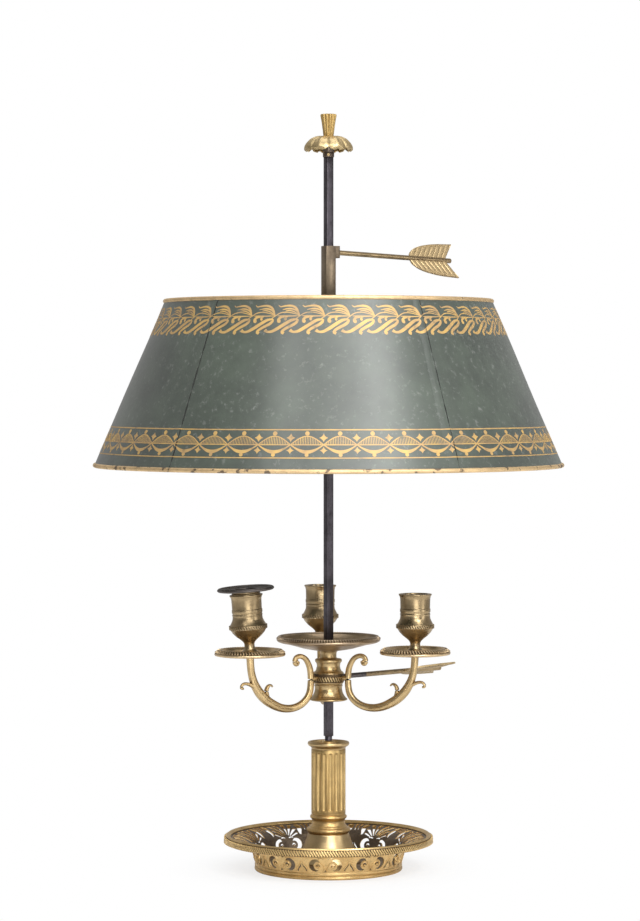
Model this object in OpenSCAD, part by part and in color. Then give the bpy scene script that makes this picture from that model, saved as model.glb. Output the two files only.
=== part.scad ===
// Bouillotte lamp: a pierced brass dish on a foot ring carries a short fluted column and a square
// steel rod. A cluster of three candle arms and a painted metal shade slide on the rod, and each is
// clamped by a key shaped like the tail of an arrow. Millimetres, +Z up, origin under the foot.

/* [Base dish] */
// Outer radius of the foot ring
foot_r = 63.8; // [58:0.2:70]
// Height of the foot ring
foot_h = 6.1; // [5.6:0.1:8]
// Thickness of the foot ring
foot_wall = 3; // [2:0.2:4]
// Thickness of the floor plate
floor_t = 1.6; // [1:0.1:2]
// Radius of the pierced wall where its flare starts
gallery_r = 66; // [64.5:0.1:68]
// Height of the upright part of the pierced wall
gallery_h = 10.9; // [9.5:0.1:13]
// How far the flare reaches out
flare_w = 21.5; // [19:0.5:26]
// How far the flare rises
flare_h = 9.8; // [8:0.1:14]
// Thickness of the pierced wall
gallery_t = 1.6; // [1.2:0.1:2.4]
// Number of cast lengths that the pierced wall is joined from
wall_lengths = 5; // [5:1:5]
// Number of scroll pairs on each length
pairs_each = 2; // [1:1:2]
// Angle of the first scroll pair from +X
scroll_az = -92.4; // [-110:0.2:-70]
// Width of the rolled rim outside the flare
rim_w = 2.3; // [1.6:0.1:4]
// Height of the rim above the flare
rim_up = 2.1; // [1:0.1:4]
// Depth of the rim below the top of the flare
rim_down = 3.9; // [2:0.1:6]

/* [Column] */
// Radius of the cone where it stands on the floor
cone_foot_r = 28; // [24:0.5:34]
// Radius at the top of the cone
cone_top_r = 17.8; // [16:0.1:18.6]
// Height of the cone
cone_h = 25.4; // [18:0.2:36]
// Radius of the ring on the cone
base_ring_r = 19.1; // [18.7:0.1:22]
// Height of the ring on the cone with its flare
base_ring_h = 9; // [8:0.1:12]
// Radius of the ring under the fluted shaft
shaft_ring_r = 15.9; // [15.2:0.1:18]
// Height of the ring under the fluted shaft
shaft_ring_h = 8.5; // [7:0.1:11]
// Radius of the fluted shaft
shaft_r = 14.8; // [13.5:0.1:15]
// Height of the fluted shaft
shaft_h = 55; // [40:0.5:80]
// Number of flutes
flutes = 18; // [14:1:20]
// Radius of the tool that cuts a flute
flute_r = 2.1; // [1.6:0.1:2.3]
// Depth of a flute
flute_d = 1; // [0.5:0.1:1.4]
// Radius of the lip on the column
lip_r = 18; // [16.6:0.1:20]
// Height of the lip casting
lip_h = 6.5; // [5.5:0.1:9]
// Depth of the well inside the lip
well_d = 3; // [2:0.1:4]
// Radius of the domed boss in the well
boss_r = 6; // [5:0.1:9]

/* [Rod] */
// Side of the square rod
rod_side = 6.4; // [6.3:0.1:7]
// Angle of one face of the rod from +X
rod_az = 30; // [20:1:40]
// Radius of the round shank inside the column
shank_r = 3.1; // [2.7:0.1:3.1]
// Height of the top end of the square rod
rod_top = 613; // [560:1:680]
// Play on each side between the rod and what slides on it
slide_gap = 0.1; // [0.05:0.01:0.3]
// Play round a pin in its hole
pin_gap = 0.05; // [0.02:0.01:0.1]

/* [Finial] */
// Radius of the collar on the rod
collar_r = 5.2; // [5:0.1:7]
// Height of the collar
collar_h = 11; // [8:0.5:14]
// Radius of the leaf canopy
canopy_r = 21.3; // [17:0.1:26]
// Height of the leaf canopy above its seat
canopy_up = 7; // [5:0.1:9]
// Drop of the leaf tips below the seat
canopy_down = 6.5; // [4:0.1:7.5]
// Number of leaves in the canopy
leaves = 8; // [6:1:10]
// Height of the reeded torch
torch_h = 19; // [14:0.5:26]
// Radius at the foot of the torch
torch_foot_r = 4.5; // [4:0.1:6]
// Radius at the top of the torch
torch_top_r = 7.3; // [6.2:0.1:10]
// Number of grooves in the torch
torch_reeds = 12; // [8:1:14]

/* [Candle cluster] */
// Height of the foot of the hub at rest
cluster_z = 145.8; // [140:0.2:160]
// Radius of the foot of the hub
hub_foot_r = 16.3; // [15:0.1:18]
// Radius of the hub band that carries the arms and the key
band_r = 13.2; // [12.4:0.1:14]
// Height of the middle of the band above the foot of the hub
band_up = 19.8; // [18.6:0.1:21]
// Height of the hub
hub_h = 33; // [32:0.2:38]
// Height of the cap on the hub
cap_h = 10; // [8.5:0.1:14]
// Radius of the centre pan
centre_pan_r = 44.9; // [38:0.1:50]
// Depth of the centre pan
centre_pan_h = 12.7; // [10:0.1:15]
// Distance of the candles from the rod
arm_reach = 81.3; // [76:0.1:90]
// Height of the top of an arm above the foot of the hub
arm_up = 43.6; // [41:0.1:47]
// Lowest point of the middle line of an arm, below the foot of the hub
arm_drop = 4.9; // [2:0.1:8]
// Angle of the left arm from +X
left_az = 215; // [205:1:225]
// Angle of the right arm from +X
right_az = -25; // [-35:1:-15]
// Angle of the back arm from +X
back_az = 95; // [88:1:105]
// Radius of the peg that holds an arm in the hub
peg_r = 2; // [1.5:0.1:2.4]
// Depth of that peg in the hub
peg_depth = 5; // [3:0.2:6]

/* [Candle cups] */
// Radius of a candle pan
pan_r = 30.2; // [26:0.1:34]
// Height of a candle pan
pan_h = 4.6; // [4:0.1:7]
// Thickness of the floor of a candle pan
pan_t = 1.4; // [1:0.1:1.8]
// Height of a candle cup
cup_h = 49.4; // [46:0.2:58]
// Radius of the candle hole
candle_r = 11; // [10:0.1:11.3]
// Depth of the candle hole
candle_depth = 31; // [26:0.5:31]
// Radius of the bulge of a cup
bulge_r = 15.7; // [15:0.1:18]
// Radius of the body of a cup
cup_body_r = 12.7; // [12.5:0.1:13.6]
// Radius of the lip of a cup
cup_lip_r = 14.1; // [13.7:0.1:16]
// Radius of the stud under a cup
stud_r = 1.5; // [1.2:0.1:1.8]
// Depth of the stud in the arm
stud_depth = 7; // [5:0.5:10]
// Radius of the foot of a cup
cup_foot_r = 7.4; // [6.8:0.1:9]
// Lean of the left cup, which has worked loose on its stud
cup_lean = 4.1; // [0:0.1:4.2]
// Angle from +X towards which the left cup leans
lean_az = 200; // [180:5:240]
// Radius of the wax dish
bobeche_r = 24.3; // [20:0.1:28]
// Thickness of the wax dish
bobeche_h = 4; // [3:0.1:6]
// Radius of the collar under the wax dish
bobeche_collar_r = 12.3; // [11.8:0.1:13.5]
// Height of the collar above the cup
bobeche_collar_h = 2.8; // [2:0.1:4]
// Depth of the collar in the cup
spigot_depth = 12; // [8:0.5:20]

/* [Arrow keys] */
// Radius of the shaft of a key
key_r = 2.15; // [1.8:0.05:2.4]
// Distance of the end of the shaft from the rod axis
key_reach = 124.2; // [110:0.2:135]
// Length of a vane
vane_l = 47; // [36:0.5:54]
// Height of a vane above the middle of the shaft
vane_h = 16.6; // [12:0.2:20]
// Thickness of the vanes
vane_t = 1.6; // [1:0.1:2.4]
// How far the tips of the vanes lie beyond their roots
vane_sweep = 11; // [6:0.1:13]
// Angle of the cluster key from +X
cluster_key_az = 37; // [28:1:40]
// Rise of the cluster key
key_rise = 0.7; // [0:0.1:1.5]
// Turn of the cluster key's vanes from upright
cluster_key_turn = 71; // [0:1:180]
// Turn of the shade key's vanes from upright
shade_key_turn = -27; // [-90:1:90]
// Droop of the shade key
key_droop = 2.5; // [0:0.1:4]

/* [Shade] */
// Height of the top edge of the shade at rest
shade_z = 489.4; // [475:0.2:500]
// Height of the shade between its beads
shade_h = 140.4; // [120:0.2:160]
// Radius of the top edge of the shade
shade_top_r = 140.2; // [120:0.2:160]
// Radius of the bottom edge of the shade
shade_bottom_r = 200.5; // [180:0.2:220]
// Thickness of the sheet
sheet_t = 0.8; // [0.5:0.1:1.2]
// Radius of the rolled beads
bead_r = 1.9; // [1.5:0.1:3]
// Number of panels in the shade
panels = 5; // [5:1:5]
// Angle of the first seam from +X
seam_az = -131.3; // [-150:0.1:-110]
// Angle that one panel laps over the next
lap_deg = 1.6; // [1:0.1:2.4]
// Outer side of the square sleeve
sleeve_side = 9.4; // [8.4:0.1:11]
// Height of the sleeve above the top edge of the shade
sleeve_up = 47.6; // [38:0.2:60]
// Length of the sleeve below the top edge of the shade
sleeve_down = 5.4; // [4:0.2:12]
// Height of the square boss on the sleeve
sleeve_boss_h = 10.4; // [8:0.1:12]
// Width of that boss
sleeve_boss_w = 9; // [7:0.1:9.4]
// How far the boss stands out of the sleeve
sleeve_boss_l = 4.2; // [3:0.1:7]
// Radius of the spider's ring round the sleeve
spider_ring_r = 10; // [9:0.1:14]
// Height of the spider's ring
spider_ring_h = 5; // [4.6:0.1:8]
// Radius of the spider's spokes
spoke_r = 2; // [1.4:0.1:2.2]
// Number of spokes
spokes = 3; // [3:1:3]
// Angle of the first spoke from +X, clear of the candles
spoke_az = 35; // [25:1:45]

/* [Hidden] */

$fn = 96;
brass = [0.72, 0.58, 0.33];
dark_brass = [0.42, 0.33, 0.22];
steel = [0.33, 0.30, 0.31];
pale_gold = [0.78, 0.68, 0.45];
green_paint = [0.24, 0.30, 0.25];
gilt = [0.62, 0.52, 0.32];
wax_dark = [0.20, 0.18, 0.17];

// Base and column heights, each on top of the one before
ledge_w = 3;
ledge_t = 1.5;
floor_r = foot_r - foot_wall - pin_gap;
wall_top_z = foot_h + gallery_h;
flare_top_z = wall_top_z + flare_h;
cone_wall = 2;
plate_t = 3;
base_ring_z = foot_h + cone_h;
shaft_ring_z = base_ring_z + base_ring_h;
shaft_z = shaft_ring_z + shaft_ring_h;
lip_z = shaft_z + shaft_h;
lip_top_z = lip_z + lip_h;
well_z = lip_top_z - well_d;
washer_t = 1;
washer_r = 11;
nut_h = 2.7;
nut_r = 6.4;
washer_z = foot_h - floor_t - washer_t;
nut_z = washer_z - nut_h;
shank_end = 0.2;
square_z = lip_top_z + 4.5;
shank_hole = shank_r + pin_gap;
tube_r = 10;

// Finial
tenon_r = 2.6;
tenon_up = 6;
seat_z = rod_top + collar_h;
torch_z = seat_z + canopy_up;
canopy_t = 1.4;
screw_r = 1.2;
screw_up = 2;
screw_head = 0.8;

// Cluster
slot = rod_side + 2 * slide_gap;
cap_z = cluster_z + hub_h;
pan_z = cap_z + cap_h;
rod_hole_r = slot / sqrt(2) + 0.4;
arm_top_z = cluster_z + arm_up;
arm_low = -arm_drop;
riser_r = band_r + 5.1;
cup_z = arm_top_z + pan_t;
stud_up = 5;
stud_play = 0.4;
key_end_gap = 0.15;
key_start = rod_side / 2 + key_end_gap;
cluster_key_off = cluster_key_az - rod_az;
cluster_key_start = (rod_side / 2 + key_end_gap + key_r * abs(sin(cluster_key_off))) / cos(cluster_key_off);
key_hole = key_r + pin_gap;
cluster_key_z = cluster_z + band_up;

// Shade
sleeve_top_z = shade_z + sleeve_up;
shade_key_z = sleeve_top_z - sleeve_boss_h / 2;
slope = atan2(shade_bottom_r - shade_top_r, shade_h);
panel_deg = 360 / panels;

// Points of an arc about c, from angle a to angle b
function arc(c, r, a, b, n = 6) = [for (i = [0:n]) c + r * [cos(a + (b - a) * i / n), sin(a + (b - a) * i / n)]];

module turned(points) rotate_extrude() polygon(points);
module at_azimuth(angle) rotate([0, 0, angle]) children();
module square_hole(z, height) at_azimuth(rod_az)
    translate([-slot / 2, -slot / 2, z]) cube([slot, slot, height]);

// ---- Base dish ----

// Stepped ring that the lamp stands on, with a ledge for the floor plate
module foot_ring() color(brass) {
    step_z = foot_h / 2;
    inner = foot_r - foot_wall;
    turned(concat(
        [[inner, 0], [foot_r - 0.6, 0], [foot_r, 0.6], [foot_r, step_z - 0.6], [foot_r - 0.9, step_z]],
        [[foot_r - 0.2, step_z + 0.6], [foot_r - 0.2, foot_h - 0.4], [foot_r - 0.5, foot_h]],
        [[inner, foot_h], [inner, foot_h - floor_t], [inner - ledge_w, foot_h - floor_t]],
        [[inner - ledge_w, foot_h - floor_t - ledge_t], [inner, foot_h - floor_t - ledge_t]]));
}

module dish_floor() color(dark_brass) translate([0, 0, foot_h - floor_t])
    difference() {
        cylinder(r = floor_r, h = floor_t);
        translate([0, 0, -1]) cylinder(r = shank_hole, h = floor_t + 2);
    }

// Point on the outside of the pierced wall, and its neighbour on the inside
flare_steps = 7;
function flare_out(a) = [gallery_r + flare_w * (1 - cos(a)), wall_top_z + flare_h * sin(a)];
function flare_in(a) = flare_out(a) + gallery_t * [-cos(a), sin(a)];

module gallery_section() polygon(concat(
    [[foot_r - 0.6 - gallery_t, foot_h], [foot_r - 0.6, foot_h]],
    [for (i = [0:flare_steps]) flare_out(90 * i / flare_steps)],
    [for (i = [flare_steps:-1:0]) flare_in(90 * i / flare_steps)]));

// Openings of one scroll pair and the palmette over it. The round curl stays in each crescent.
curl_u = 6.5;
curl_up = 7.1;
curl_r = 4;
crescent_u = 8.2;
crescent_up = 8.1;
crescent_r = 5.6;
crescent_in = 15;

module crescent() rotate([90, 0, 90]) linear_extrude(2 * crescent_in) difference() {
    translate([crescent_u, foot_h + crescent_up]) circle(crescent_r);
    translate([curl_u, foot_h + curl_up]) circle(curl_r);
}

// Slit between two fingers of a palmette, cut down through the flare
module finger_slit(root, angle, reach, width) translate([root, 0, wall_top_z - 1])
    rotate([0, 0, angle]) linear_extrude(2 * flare_h)
        polygon([[reach[0], -width * 0.3], [reach[1], -width / 2], [reach[1], width / 2], [reach[0], width * 0.3]]);

// Root of each palmette inside the wall, and where its slits begin and end beyond that root
slit_w = 1.9;
large_back = 8;
middle_slit = [11, 26];
second_slit = [11.5, 25];
outer_slit = [13, 22];
tulip_slit = [4, 18];
small_back = 4;
small_slit = [10, 21];
pair_deg = 360 / wall_lengths / pairs_each;

module scroll_openings() {
    for (side = [0, 1]) mirror([0, side, 0]) {
        translate([gallery_r - crescent_in, 0, 0]) crescent();
        finger_slit(gallery_r - large_back, 8, middle_slit, slit_w);
        finger_slit(gallery_r - large_back, 21, second_slit, slit_w);
        finger_slit(gallery_r - large_back, 34, outer_slit, slit_w);
        at_azimuth(0.35 * pair_deg) finger_slit(gallery_r, 0, tulip_slit, 2 * slit_w);
        at_azimuth(pair_deg / 2) finger_slit(gallery_r - small_back, -11, small_slit, slit_w);
    }
}

// One cast length of the wall, from halfway between two pairs to halfway between the last and the next
module gallery_wall(index) color(brass) at_azimuth(scroll_az + (index * pairs_each - 0.5) * pair_deg) difference() {
    rotate_extrude(angle = pairs_each * pair_deg) gallery_section();
    for (i = [0:pairs_each - 1]) at_azimuth((i + 0.5) * pair_deg) scroll_openings();
}
module gallery_wall_1() gallery_wall(0);
module gallery_wall_2() gallery_wall(1);
module gallery_wall_3() gallery_wall(2);
module gallery_wall_4() gallery_wall(3);
module gallery_wall_5() gallery_wall(4);

// Rolled rim on the edge of the flare
module gallery_rim() color(brass) {
    edge = gallery_r + flare_w;
    top = flare_top_z + gallery_t;
    turned(concat(
        [[edge - 3, top], [edge, top], [edge, flare_top_z - rim_down + 1.2]],
        [[edge + 0.6, flare_top_z - rim_down], [edge + rim_w - 0.5, flare_top_z - rim_down + 0.6]],
        [[edge + rim_w, flare_top_z - 1.4], [edge + rim_w - 0.2, flare_top_z + 0.6]],
        [[edge + rim_w - 1.2, top + rim_up - 0.5], [edge, top + rim_up]],
        [[edge - 1.6, top + rim_up - 0.7], [edge - 2.6, top + 0.7]]));
}

// ---- Column ----

module column_foot() color(brass) {
    rise = cone_h;
    mid_r = cone_top_r + (cone_foot_r - cone_top_r) * 0.42;
    z = foot_h;
    turned([[cone_foot_r, z], [cone_foot_r, z + 1.2], [cone_foot_r - 1, z + 2], [mid_r, z + rise * 0.52],
        [cone_top_r, z + rise], [shank_hole, z + rise], [shank_hole, z + rise - plate_t],
        [cone_top_r - cone_wall, z + rise - plate_t], [mid_r - cone_wall, z + rise * 0.5],
        [cone_foot_r - 3, z + 2], [cone_foot_r - 3, z]]);
}

// Half-round ring with a flare over it
module base_ring() color(brass) {
    bead = 2.6;
    z = base_ring_z;
    turned(concat([[shank_hole, z], [cone_top_r - 0.6, z]],
        arc([base_ring_r - bead, z + bead], bead, -80, 70),
        [[base_ring_r - 3.2, z + 2.1 * bead], [shaft_r + 0.4, z + 2.6 * bead]],
        [[shaft_r - 0.5, z + base_ring_h - 1], [shaft_r - 0.6, z + base_ring_h]],
        [[shank_hole, z + base_ring_h]]));
}

module shaft_ring() color(brass) {
    bead = 1.7;
    z = shaft_ring_z;
    mid = z + shaft_ring_h * 0.6;
    turned(concat([[shank_hole, z], [shaft_r - 0.6, z], [shaft_r - 0.6, mid - 2.1]],
        arc([shaft_ring_r - bead, mid], bead, -70, 70),
        [[shaft_r - 0.3, mid + 2.2], [shaft_r, z + shaft_ring_h], [shank_hole, z + shaft_ring_h]]));
}

module fluted_shaft() color(brass) difference() {
    translate([0, 0, shaft_z]) cylinder(r = shaft_r, h = shaft_h);
    translate([0, 0, shaft_z - 1]) cylinder(r = tube_r, h = shaft_h + 2);
    for (i = [0:flutes - 1]) at_azimuth(-83.4 + i * 360 / flutes)
        translate([shaft_r + flute_r - flute_d, 0, shaft_z + 2]) cylinder(r = flute_r, h = shaft_h - 4, $fn = 24);
}

module column_lip() color(brass) turned([[shank_hole, lip_z], [shaft_r - 0.3, lip_z],
    [shaft_r, lip_z + 1.4], [lip_r - 1.6, lip_z + 2.6], [lip_r - 0.2, lip_z + 3.8], [lip_r, lip_z + 4.8],
    [lip_r - 0.5, lip_top_z - 0.3], [lip_r - 1.2, lip_top_z], [lip_r - 2.2, lip_top_z - 0.5],
    [lip_r - 2.8, well_z], [shank_hole, well_z]]);

module column_boss() color(brass) turned([[shank_hole, well_z], [boss_r, well_z],
    [boss_r, well_z + 1.6], [boss_r - 0.7, well_z + 2.8], [boss_r - 1.8, well_z + 3.6],
    [shank_hole, well_z + 3.9]]);

// ---- Rod and its fixings ----

// The square bar is turned down to a round shank, with a short cone between the two
module rod() color(steel) {
    root_in = 1;
    translate([0, 0, shank_end]) cylinder(r = shank_r, h = square_z + root_in - shank_end);
    intersection() {
        at_azimuth(rod_az) translate([-rod_side / 2, -rod_side / 2, square_z])
            cube([rod_side, rod_side, rod_top - square_z]);
        turned([[0, square_z], [shank_r - 0.4, square_z], [rod_side, square_z + 4], [rod_side, rod_top], [0, rod_top]]);
    }
    translate([0, 0, rod_top - root_in]) cylinder(r = tenon_r, h = root_in + collar_h + canopy_up + tenon_up);
}

module base_washer() color(dark_brass) translate([0, 0, washer_z]) difference() {
    cylinder(r = washer_r, h = washer_t);
    translate([0, 0, -1]) cylinder(r = shank_hole, h = washer_t + 2);
}

module base_nut() color(steel) translate([0, 0, nut_z]) difference() {
    cylinder(r = nut_r, h = nut_h, $fn = 6);
    translate([0, 0, -1]) cylinder(r = shank_hole, h = nut_h + 2);
}

// ---- Finial ----

module finial_collar() color(dark_brass) difference() {
    translate([0, 0, rod_top]) cylinder(r1 = collar_r - 0.4, r2 = collar_r, h = collar_h);
    translate([0, 0, rod_top - 1]) cylinder(r = tenon_r + pin_gap, h = collar_h + 2);
    translate([0, 0, rod_top + screw_up]) rotate([90, 0, 0]) cylinder(r = screw_r + pin_gap, h = collar_r + 1);
}

module collar_screw() color(steel) translate([0, -tenon_r - pin_gap, rod_top + screw_up])
    rotate([90, 0, 0]) cylinder(r = screw_r, h = collar_r - tenon_r + screw_head);

// Dome of drooping leaves on a hub that rests on the collar
module leaf_canopy() color(dark_brass) difference() {
    turned(concat([[tenon_r + pin_gap, seat_z], [collar_r + 1, seat_z]],
        [for (a = [0:12:84]) [collar_r + 1 + (canopy_r - collar_r - 1 - canopy_t) * sin(a),
            seat_z - canopy_down + (canopy_down + canopy_up - 2.4) * cos(a)]],
        [[canopy_r - canopy_t, seat_z - canopy_down], [canopy_r, seat_z - canopy_down]],
        [for (a = [84:-12:12]) [torch_foot_r + (canopy_r - torch_foot_r) * sin(a),
            seat_z - canopy_down + (canopy_down + canopy_up) * cos(a)]],
        [[torch_foot_r + 0.5, torch_z], [tenon_r + pin_gap, torch_z]]));
    for (i = [0:leaves - 1]) at_azimuth(-90 + (i + 0.5) * 360 / leaves)
        translate([canopy_r + 1.6, 0, seat_z - canopy_down - 1]) cylinder(r = 3.4, h = 5.5, $fn = 24);
}

module finial_torch() color(pale_gold) difference() {
    turned([[0, torch_z], [torch_foot_r, torch_z], [torch_foot_r + 0.2, torch_z + 1],
        [torch_top_r, torch_z + torch_h - 1.4], [torch_top_r - 0.5, torch_z + torch_h - 0.4],
        [torch_top_r - 2, torch_z + torch_h], [0, torch_z + torch_h]]);
    translate([0, 0, torch_z - 1]) cylinder(r = tenon_r + pin_gap, h = tenon_up + 1.2);
    for (i = [0:torch_reeds - 1]) at_azimuth((i + 0.5) * 360 / torch_reeds)
        translate([torch_foot_r + 0.45, 0, torch_z + 1.5])
            rotate([0, atan2(torch_top_r - torch_foot_r, torch_h), 0]) cylinder(r = 0.75, h = torch_h, $fn = 16);
}

// ---- Candle cluster ----

// Turned hub with a waist, a band and a shoulder
module cluster_hub() color(brass) difference() {
    z = cluster_z;
    band = z + band_up;
    turned([[0, z], [hub_foot_r - 2, z], [hub_foot_r, z + 0.7], [hub_foot_r, z + 1.7],
        [hub_foot_r - 0.9, z + 2.5], [hub_foot_r - 3, z + 4.6], [hub_foot_r - 4.3, z + 7],
        [hub_foot_r - 4.8, z + 9.4], [band_r - 1.5, z + 12.6], [band_r - 2, z + 13.8],
        [band_r - 0.2, band - 4.6], [band_r, band - 4], [band_r, band + 4], [band_r - 0.4, band + 4.6],
        [band_r - 1.8, band + 5.6], [band_r - 2.9, z + 27.4], [band_r - 3.3, z + 29.4],
        [band_r - 2.9, z + hub_h - 1], [band_r - 2.2, z + hub_h], [0, z + hub_h]]);
    square_hole(z - 1, hub_h + 2);
    for (angle = [left_az, right_az, back_az]) at_azimuth(angle) translate([band_r - peg_depth - 0.2, 0, band])
        rotate([0, 90, 0]) cylinder(r = peg_r + pin_gap, h = peg_depth + 4);
    on_cluster_key() rotate([0, 90, 0]) cylinder(r = key_hole, h = band_r + 1);
}

module hub_cap() color(brass) difference() {
    turned([[0, cap_z], [band_r - 2.2, cap_z], [band_r - 1.6, cap_z + 0.7], [band_r - 1.6, cap_z + 2.4],
        [band_r - 2.2, cap_z + 3.1], [7.4, cap_z + 3.4], [6.9, cap_z + 4], [6.9, pan_z - 2.4],
        [7.4, pan_z - 0.9], [8.3, pan_z], [0, pan_z]]);
    square_hole(cap_z - 1, cap_h + 2);
}

// Shallow dish with a rolled edge
module centre_pan() color(brass) {
    top = pan_z + centre_pan_h;
    r = centre_pan_r;
    knee = r - 16;
    turned([[rod_hole_r, pan_z], [9, pan_z], [knee, pan_z + 4.2], [r - 3.4, top - 5.6], [r - 0.9, top - 4.6],
        [r, top - 3.2], [r - 0.6, top - 2], [r - 2.4, top - 0.3], [r - 3.2, top], [r - 3.8, top - 0.5],
        [r - 4.2, top - 1.8], [knee, pan_z + 5.9], [9, pan_z + 1.6], [rod_hole_r, pan_z + 1.6]]);
}

// Middle line of an arm as [distance from the rod, height over the hub foot, half width, half thickness],
// from the candle pan down, round the bowl, up beside the hub and over into the volute
arm_line = [
    [arm_reach, arm_up, 2.9, 3],
    [arm_reach - 0.4, arm_up - 9, 2.9, 2.9],
    [arm_reach - 1.6, arm_up - 17, 2.9, 2.8],
    [arm_reach - 4.2, arm_up - 25, 3.3, 2.8],
    [arm_reach - 9.2, arm_up - 33, 3.8, 3],
    [arm_reach - 16, arm_low + 9, 3.9, 3.1],
    [arm_reach - 23.4, arm_low + 4.6, 3.8, 3.1],
    [arm_reach - 30.8, arm_low + 1.4, 3.5, 3],
    [arm_reach - 39, arm_low, 3.3, 2.9],
    [arm_reach - 47.4, arm_low + 0.8, 3.1, 2.7],
    [riser_r + 8.2, arm_low + 4, 2.9, 2.6],
    [riser_r + 3.2, arm_low + 8.8, 2.8, 2.6],
    [riser_r + 0.7, arm_low + 14.4, 2.7, 2.5],
    [riser_r, band_up, 2.6, 2.5],
    [riser_r + 0.8, band_up + 7.6, 2.5, 2.4],
    [riser_r + 2.5, band_up + 12.4, 2.3, 2.3],
    [riser_r + 5.3, band_up + 17, 2.2, 2.2],
    [riser_r + 9, band_up + 19.4, 2.1, 2.2],
    [riser_r + 13, band_up + 20, 2, 2.2],
    [riser_r + 16.2, band_up + 18.4, 2, 2.2],
    [riser_r + 17.2, band_up + 15.2, 2, 2.1],
    [riser_r + 15.4, band_up + 12.4, 1.6, 1.9]];
arm_spans = 2;

// Smooth curve through four neighbours, for t from 0 to 1
function through(a, b, c, d, t) = 0.5 * (2 * b + (c - a) * t + (2 * a - 5 * b + 4 * c - d) * t * t
    + (3 * b - a - 3 * c + d) * t * t * t);
function curve(points, spans) = let (last = len(points) - 1) concat(
    [for (i = [0:last - 1], k = [0:spans - 1]) through(points[max(i - 1, 0)], points[i], points[i + 1],
        points[min(i + 2, last)], k / spans)], [points[last]]);

// Bar with eight sides swept along a curve in the XZ plane
module swept_bar(line) {
    n = len(line);
    rings = [for (i = [0:n - 1])
        let (d = line[min(i + 1, n - 1)] - line[max(i - 1, 0)], s = norm([d[0], d[1]]),
            side = [d[1] / s, -d[0] / s], p = line[i])
        for (corner = [[1, 0.45], [0.55, 1], [-0.55, 1], [-1, 0.45], [-1, -0.45], [-0.55, -1], [0.55, -1], [1, -0.45]])
            [p[0] + side[0] * p[2] * corner[0], p[3] * corner[1], p[1] + side[1] * p[2] * corner[0]]];
    walls = [for (i = [0:n - 2], k = [0:7]) let (a = i * 8 + k, b = i * 8 + (k + 1) % 8)
        each [[b, a, b + 8], [b + 8, a, a + 8]]];
    ends = [for (k = [1:6]) each [[0, k, k + 1], [(n - 1) * 8, (n - 1) * 8 + k + 1, (n - 1) * 8 + k]]];
    polyhedron(points = rings, faces = concat(walls, ends));
}

// Curled tips of the leaf that wraps the bowl of an arm
outer_tip = [
    [arm_reach - 9, arm_up - 31, 1.8, 2.4],
    [arm_reach - 3.2, arm_up - 27.2, 1.6, 2.6],
    [arm_reach + 2.4, arm_up - 25, 1.3, 2.6],
    [arm_reach + 6.8, arm_up - 24.8, 1.1, 2.2],
    [arm_reach + 9.2, arm_up - 27.6, 1, 1.8]];
inner_tip = [
    [arm_reach - 18.6, arm_low + 8, 1.8, 2.2],
    [arm_reach - 16.6, arm_low + 13.6, 1.7, 2.3],
    [arm_reach - 17, arm_low + 18.4, 1.4, 2.2],
    [arm_reach - 20.2, arm_low + 20.6, 1, 1.6]];

module arm(angle) color(brass) at_azimuth(angle) difference() {
    union() {
        translate([0, 0, cluster_z]) {
            swept_bar(curve(arm_line, arm_spans));
            swept_bar(curve(outer_tip, arm_spans));
            swept_bar(curve(inner_tip, arm_spans));
        }
        translate([band_r - peg_depth, 0, cluster_z + band_up]) rotate([0, 90, 0])
            cylinder(r = peg_r, h = riser_r - band_r + peg_depth);
    }
    translate([arm_reach, 0, arm_top_z - stud_depth]) cylinder(r = stud_r + pin_gap, h = stud_depth + 1);
}
module arm_left() arm(left_az);
module arm_right() arm(right_az);
module arm_back() arm(back_az);

module at_candle(angle) at_azimuth(angle) translate([arm_reach, 0, 0]) children();

// Saucer with a sloping rim, seated on the end of an arm
module candle_pan(angle) color(brass) at_candle(angle) {
    z = arm_top_z;
    r = pan_r;
    top = z + pan_h;
    turned([[stud_r + pin_gap, z], [r - 5.4, z], [r - 3, z - 1.2], [r - 0.5, z - 0.7], [r, z + 0.5],
        [r - 0.3, z + 1.3], [r - 4.4, top - 0.2], [r - 5.2, top], [r - 5.8, top - 0.4],
        [r - 7, z + pan_t + 0.6], [r - 8.4, z + pan_t], [stud_r + pin_gap, z + pan_t]]);
}
module candle_pan_left() candle_pan(left_az);
module candle_pan_right() candle_pan(right_az);
module candle_pan_back() candle_pan(back_az);

// Vase-shaped candle cup, with its foot at z = 0
cup_bulge_up = 22.8;
module cup_body() difference() {
    turned([[0, 0], [cup_foot_r, 0], [cup_foot_r, 0.7], [cup_foot_r - 1.2, 1.5], [5.1, 3], [4.3, 5.4],
        [4.3, 7.4], [5.1, 9.2], [7.2, 11.2], [10.7, 13.9], [13.4, 16.8], [bulge_r - 0.6, cup_bulge_up - 3.2],
        [bulge_r, cup_bulge_up - 0.8], [bulge_r, cup_bulge_up + 0.5], [bulge_r - 0.7, cup_bulge_up + 1.7],
        [cup_body_r + 0.7, cup_bulge_up + 4.2],
        [cup_body_r, cup_bulge_up + 7], [cup_body_r - 0.1, cup_h - 14.2], [cup_body_r + 0.3, cup_h - 13.8],
        [cup_body_r + 0.3, cup_h - 11.2], [cup_body_r - 0.1, cup_h - 10.8], [cup_body_r + 0.1, cup_h - 4.2],
        [cup_body_r + 0.6, cup_h - 1.9], [cup_lip_r, cup_h - 0.6], [cup_lip_r, cup_h], [0, cup_h]]);
    translate([0, 0, cup_h - candle_depth]) cylinder(r = candle_r, h = candle_depth + 1);
    translate([0, 0, -1]) cylinder(r = stud_r + stud_play, h = stud_up + 3);
}

// The left cup leans over the edge of its own foot
module leaning() at_candle(left_az) translate([0, 0, cup_z]) at_azimuth(lean_az - left_az)
    translate([cup_foot_r, 0, 0]) rotate([0, cup_lean, 0]) translate([-cup_foot_r, 0, 0]) children();

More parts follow.
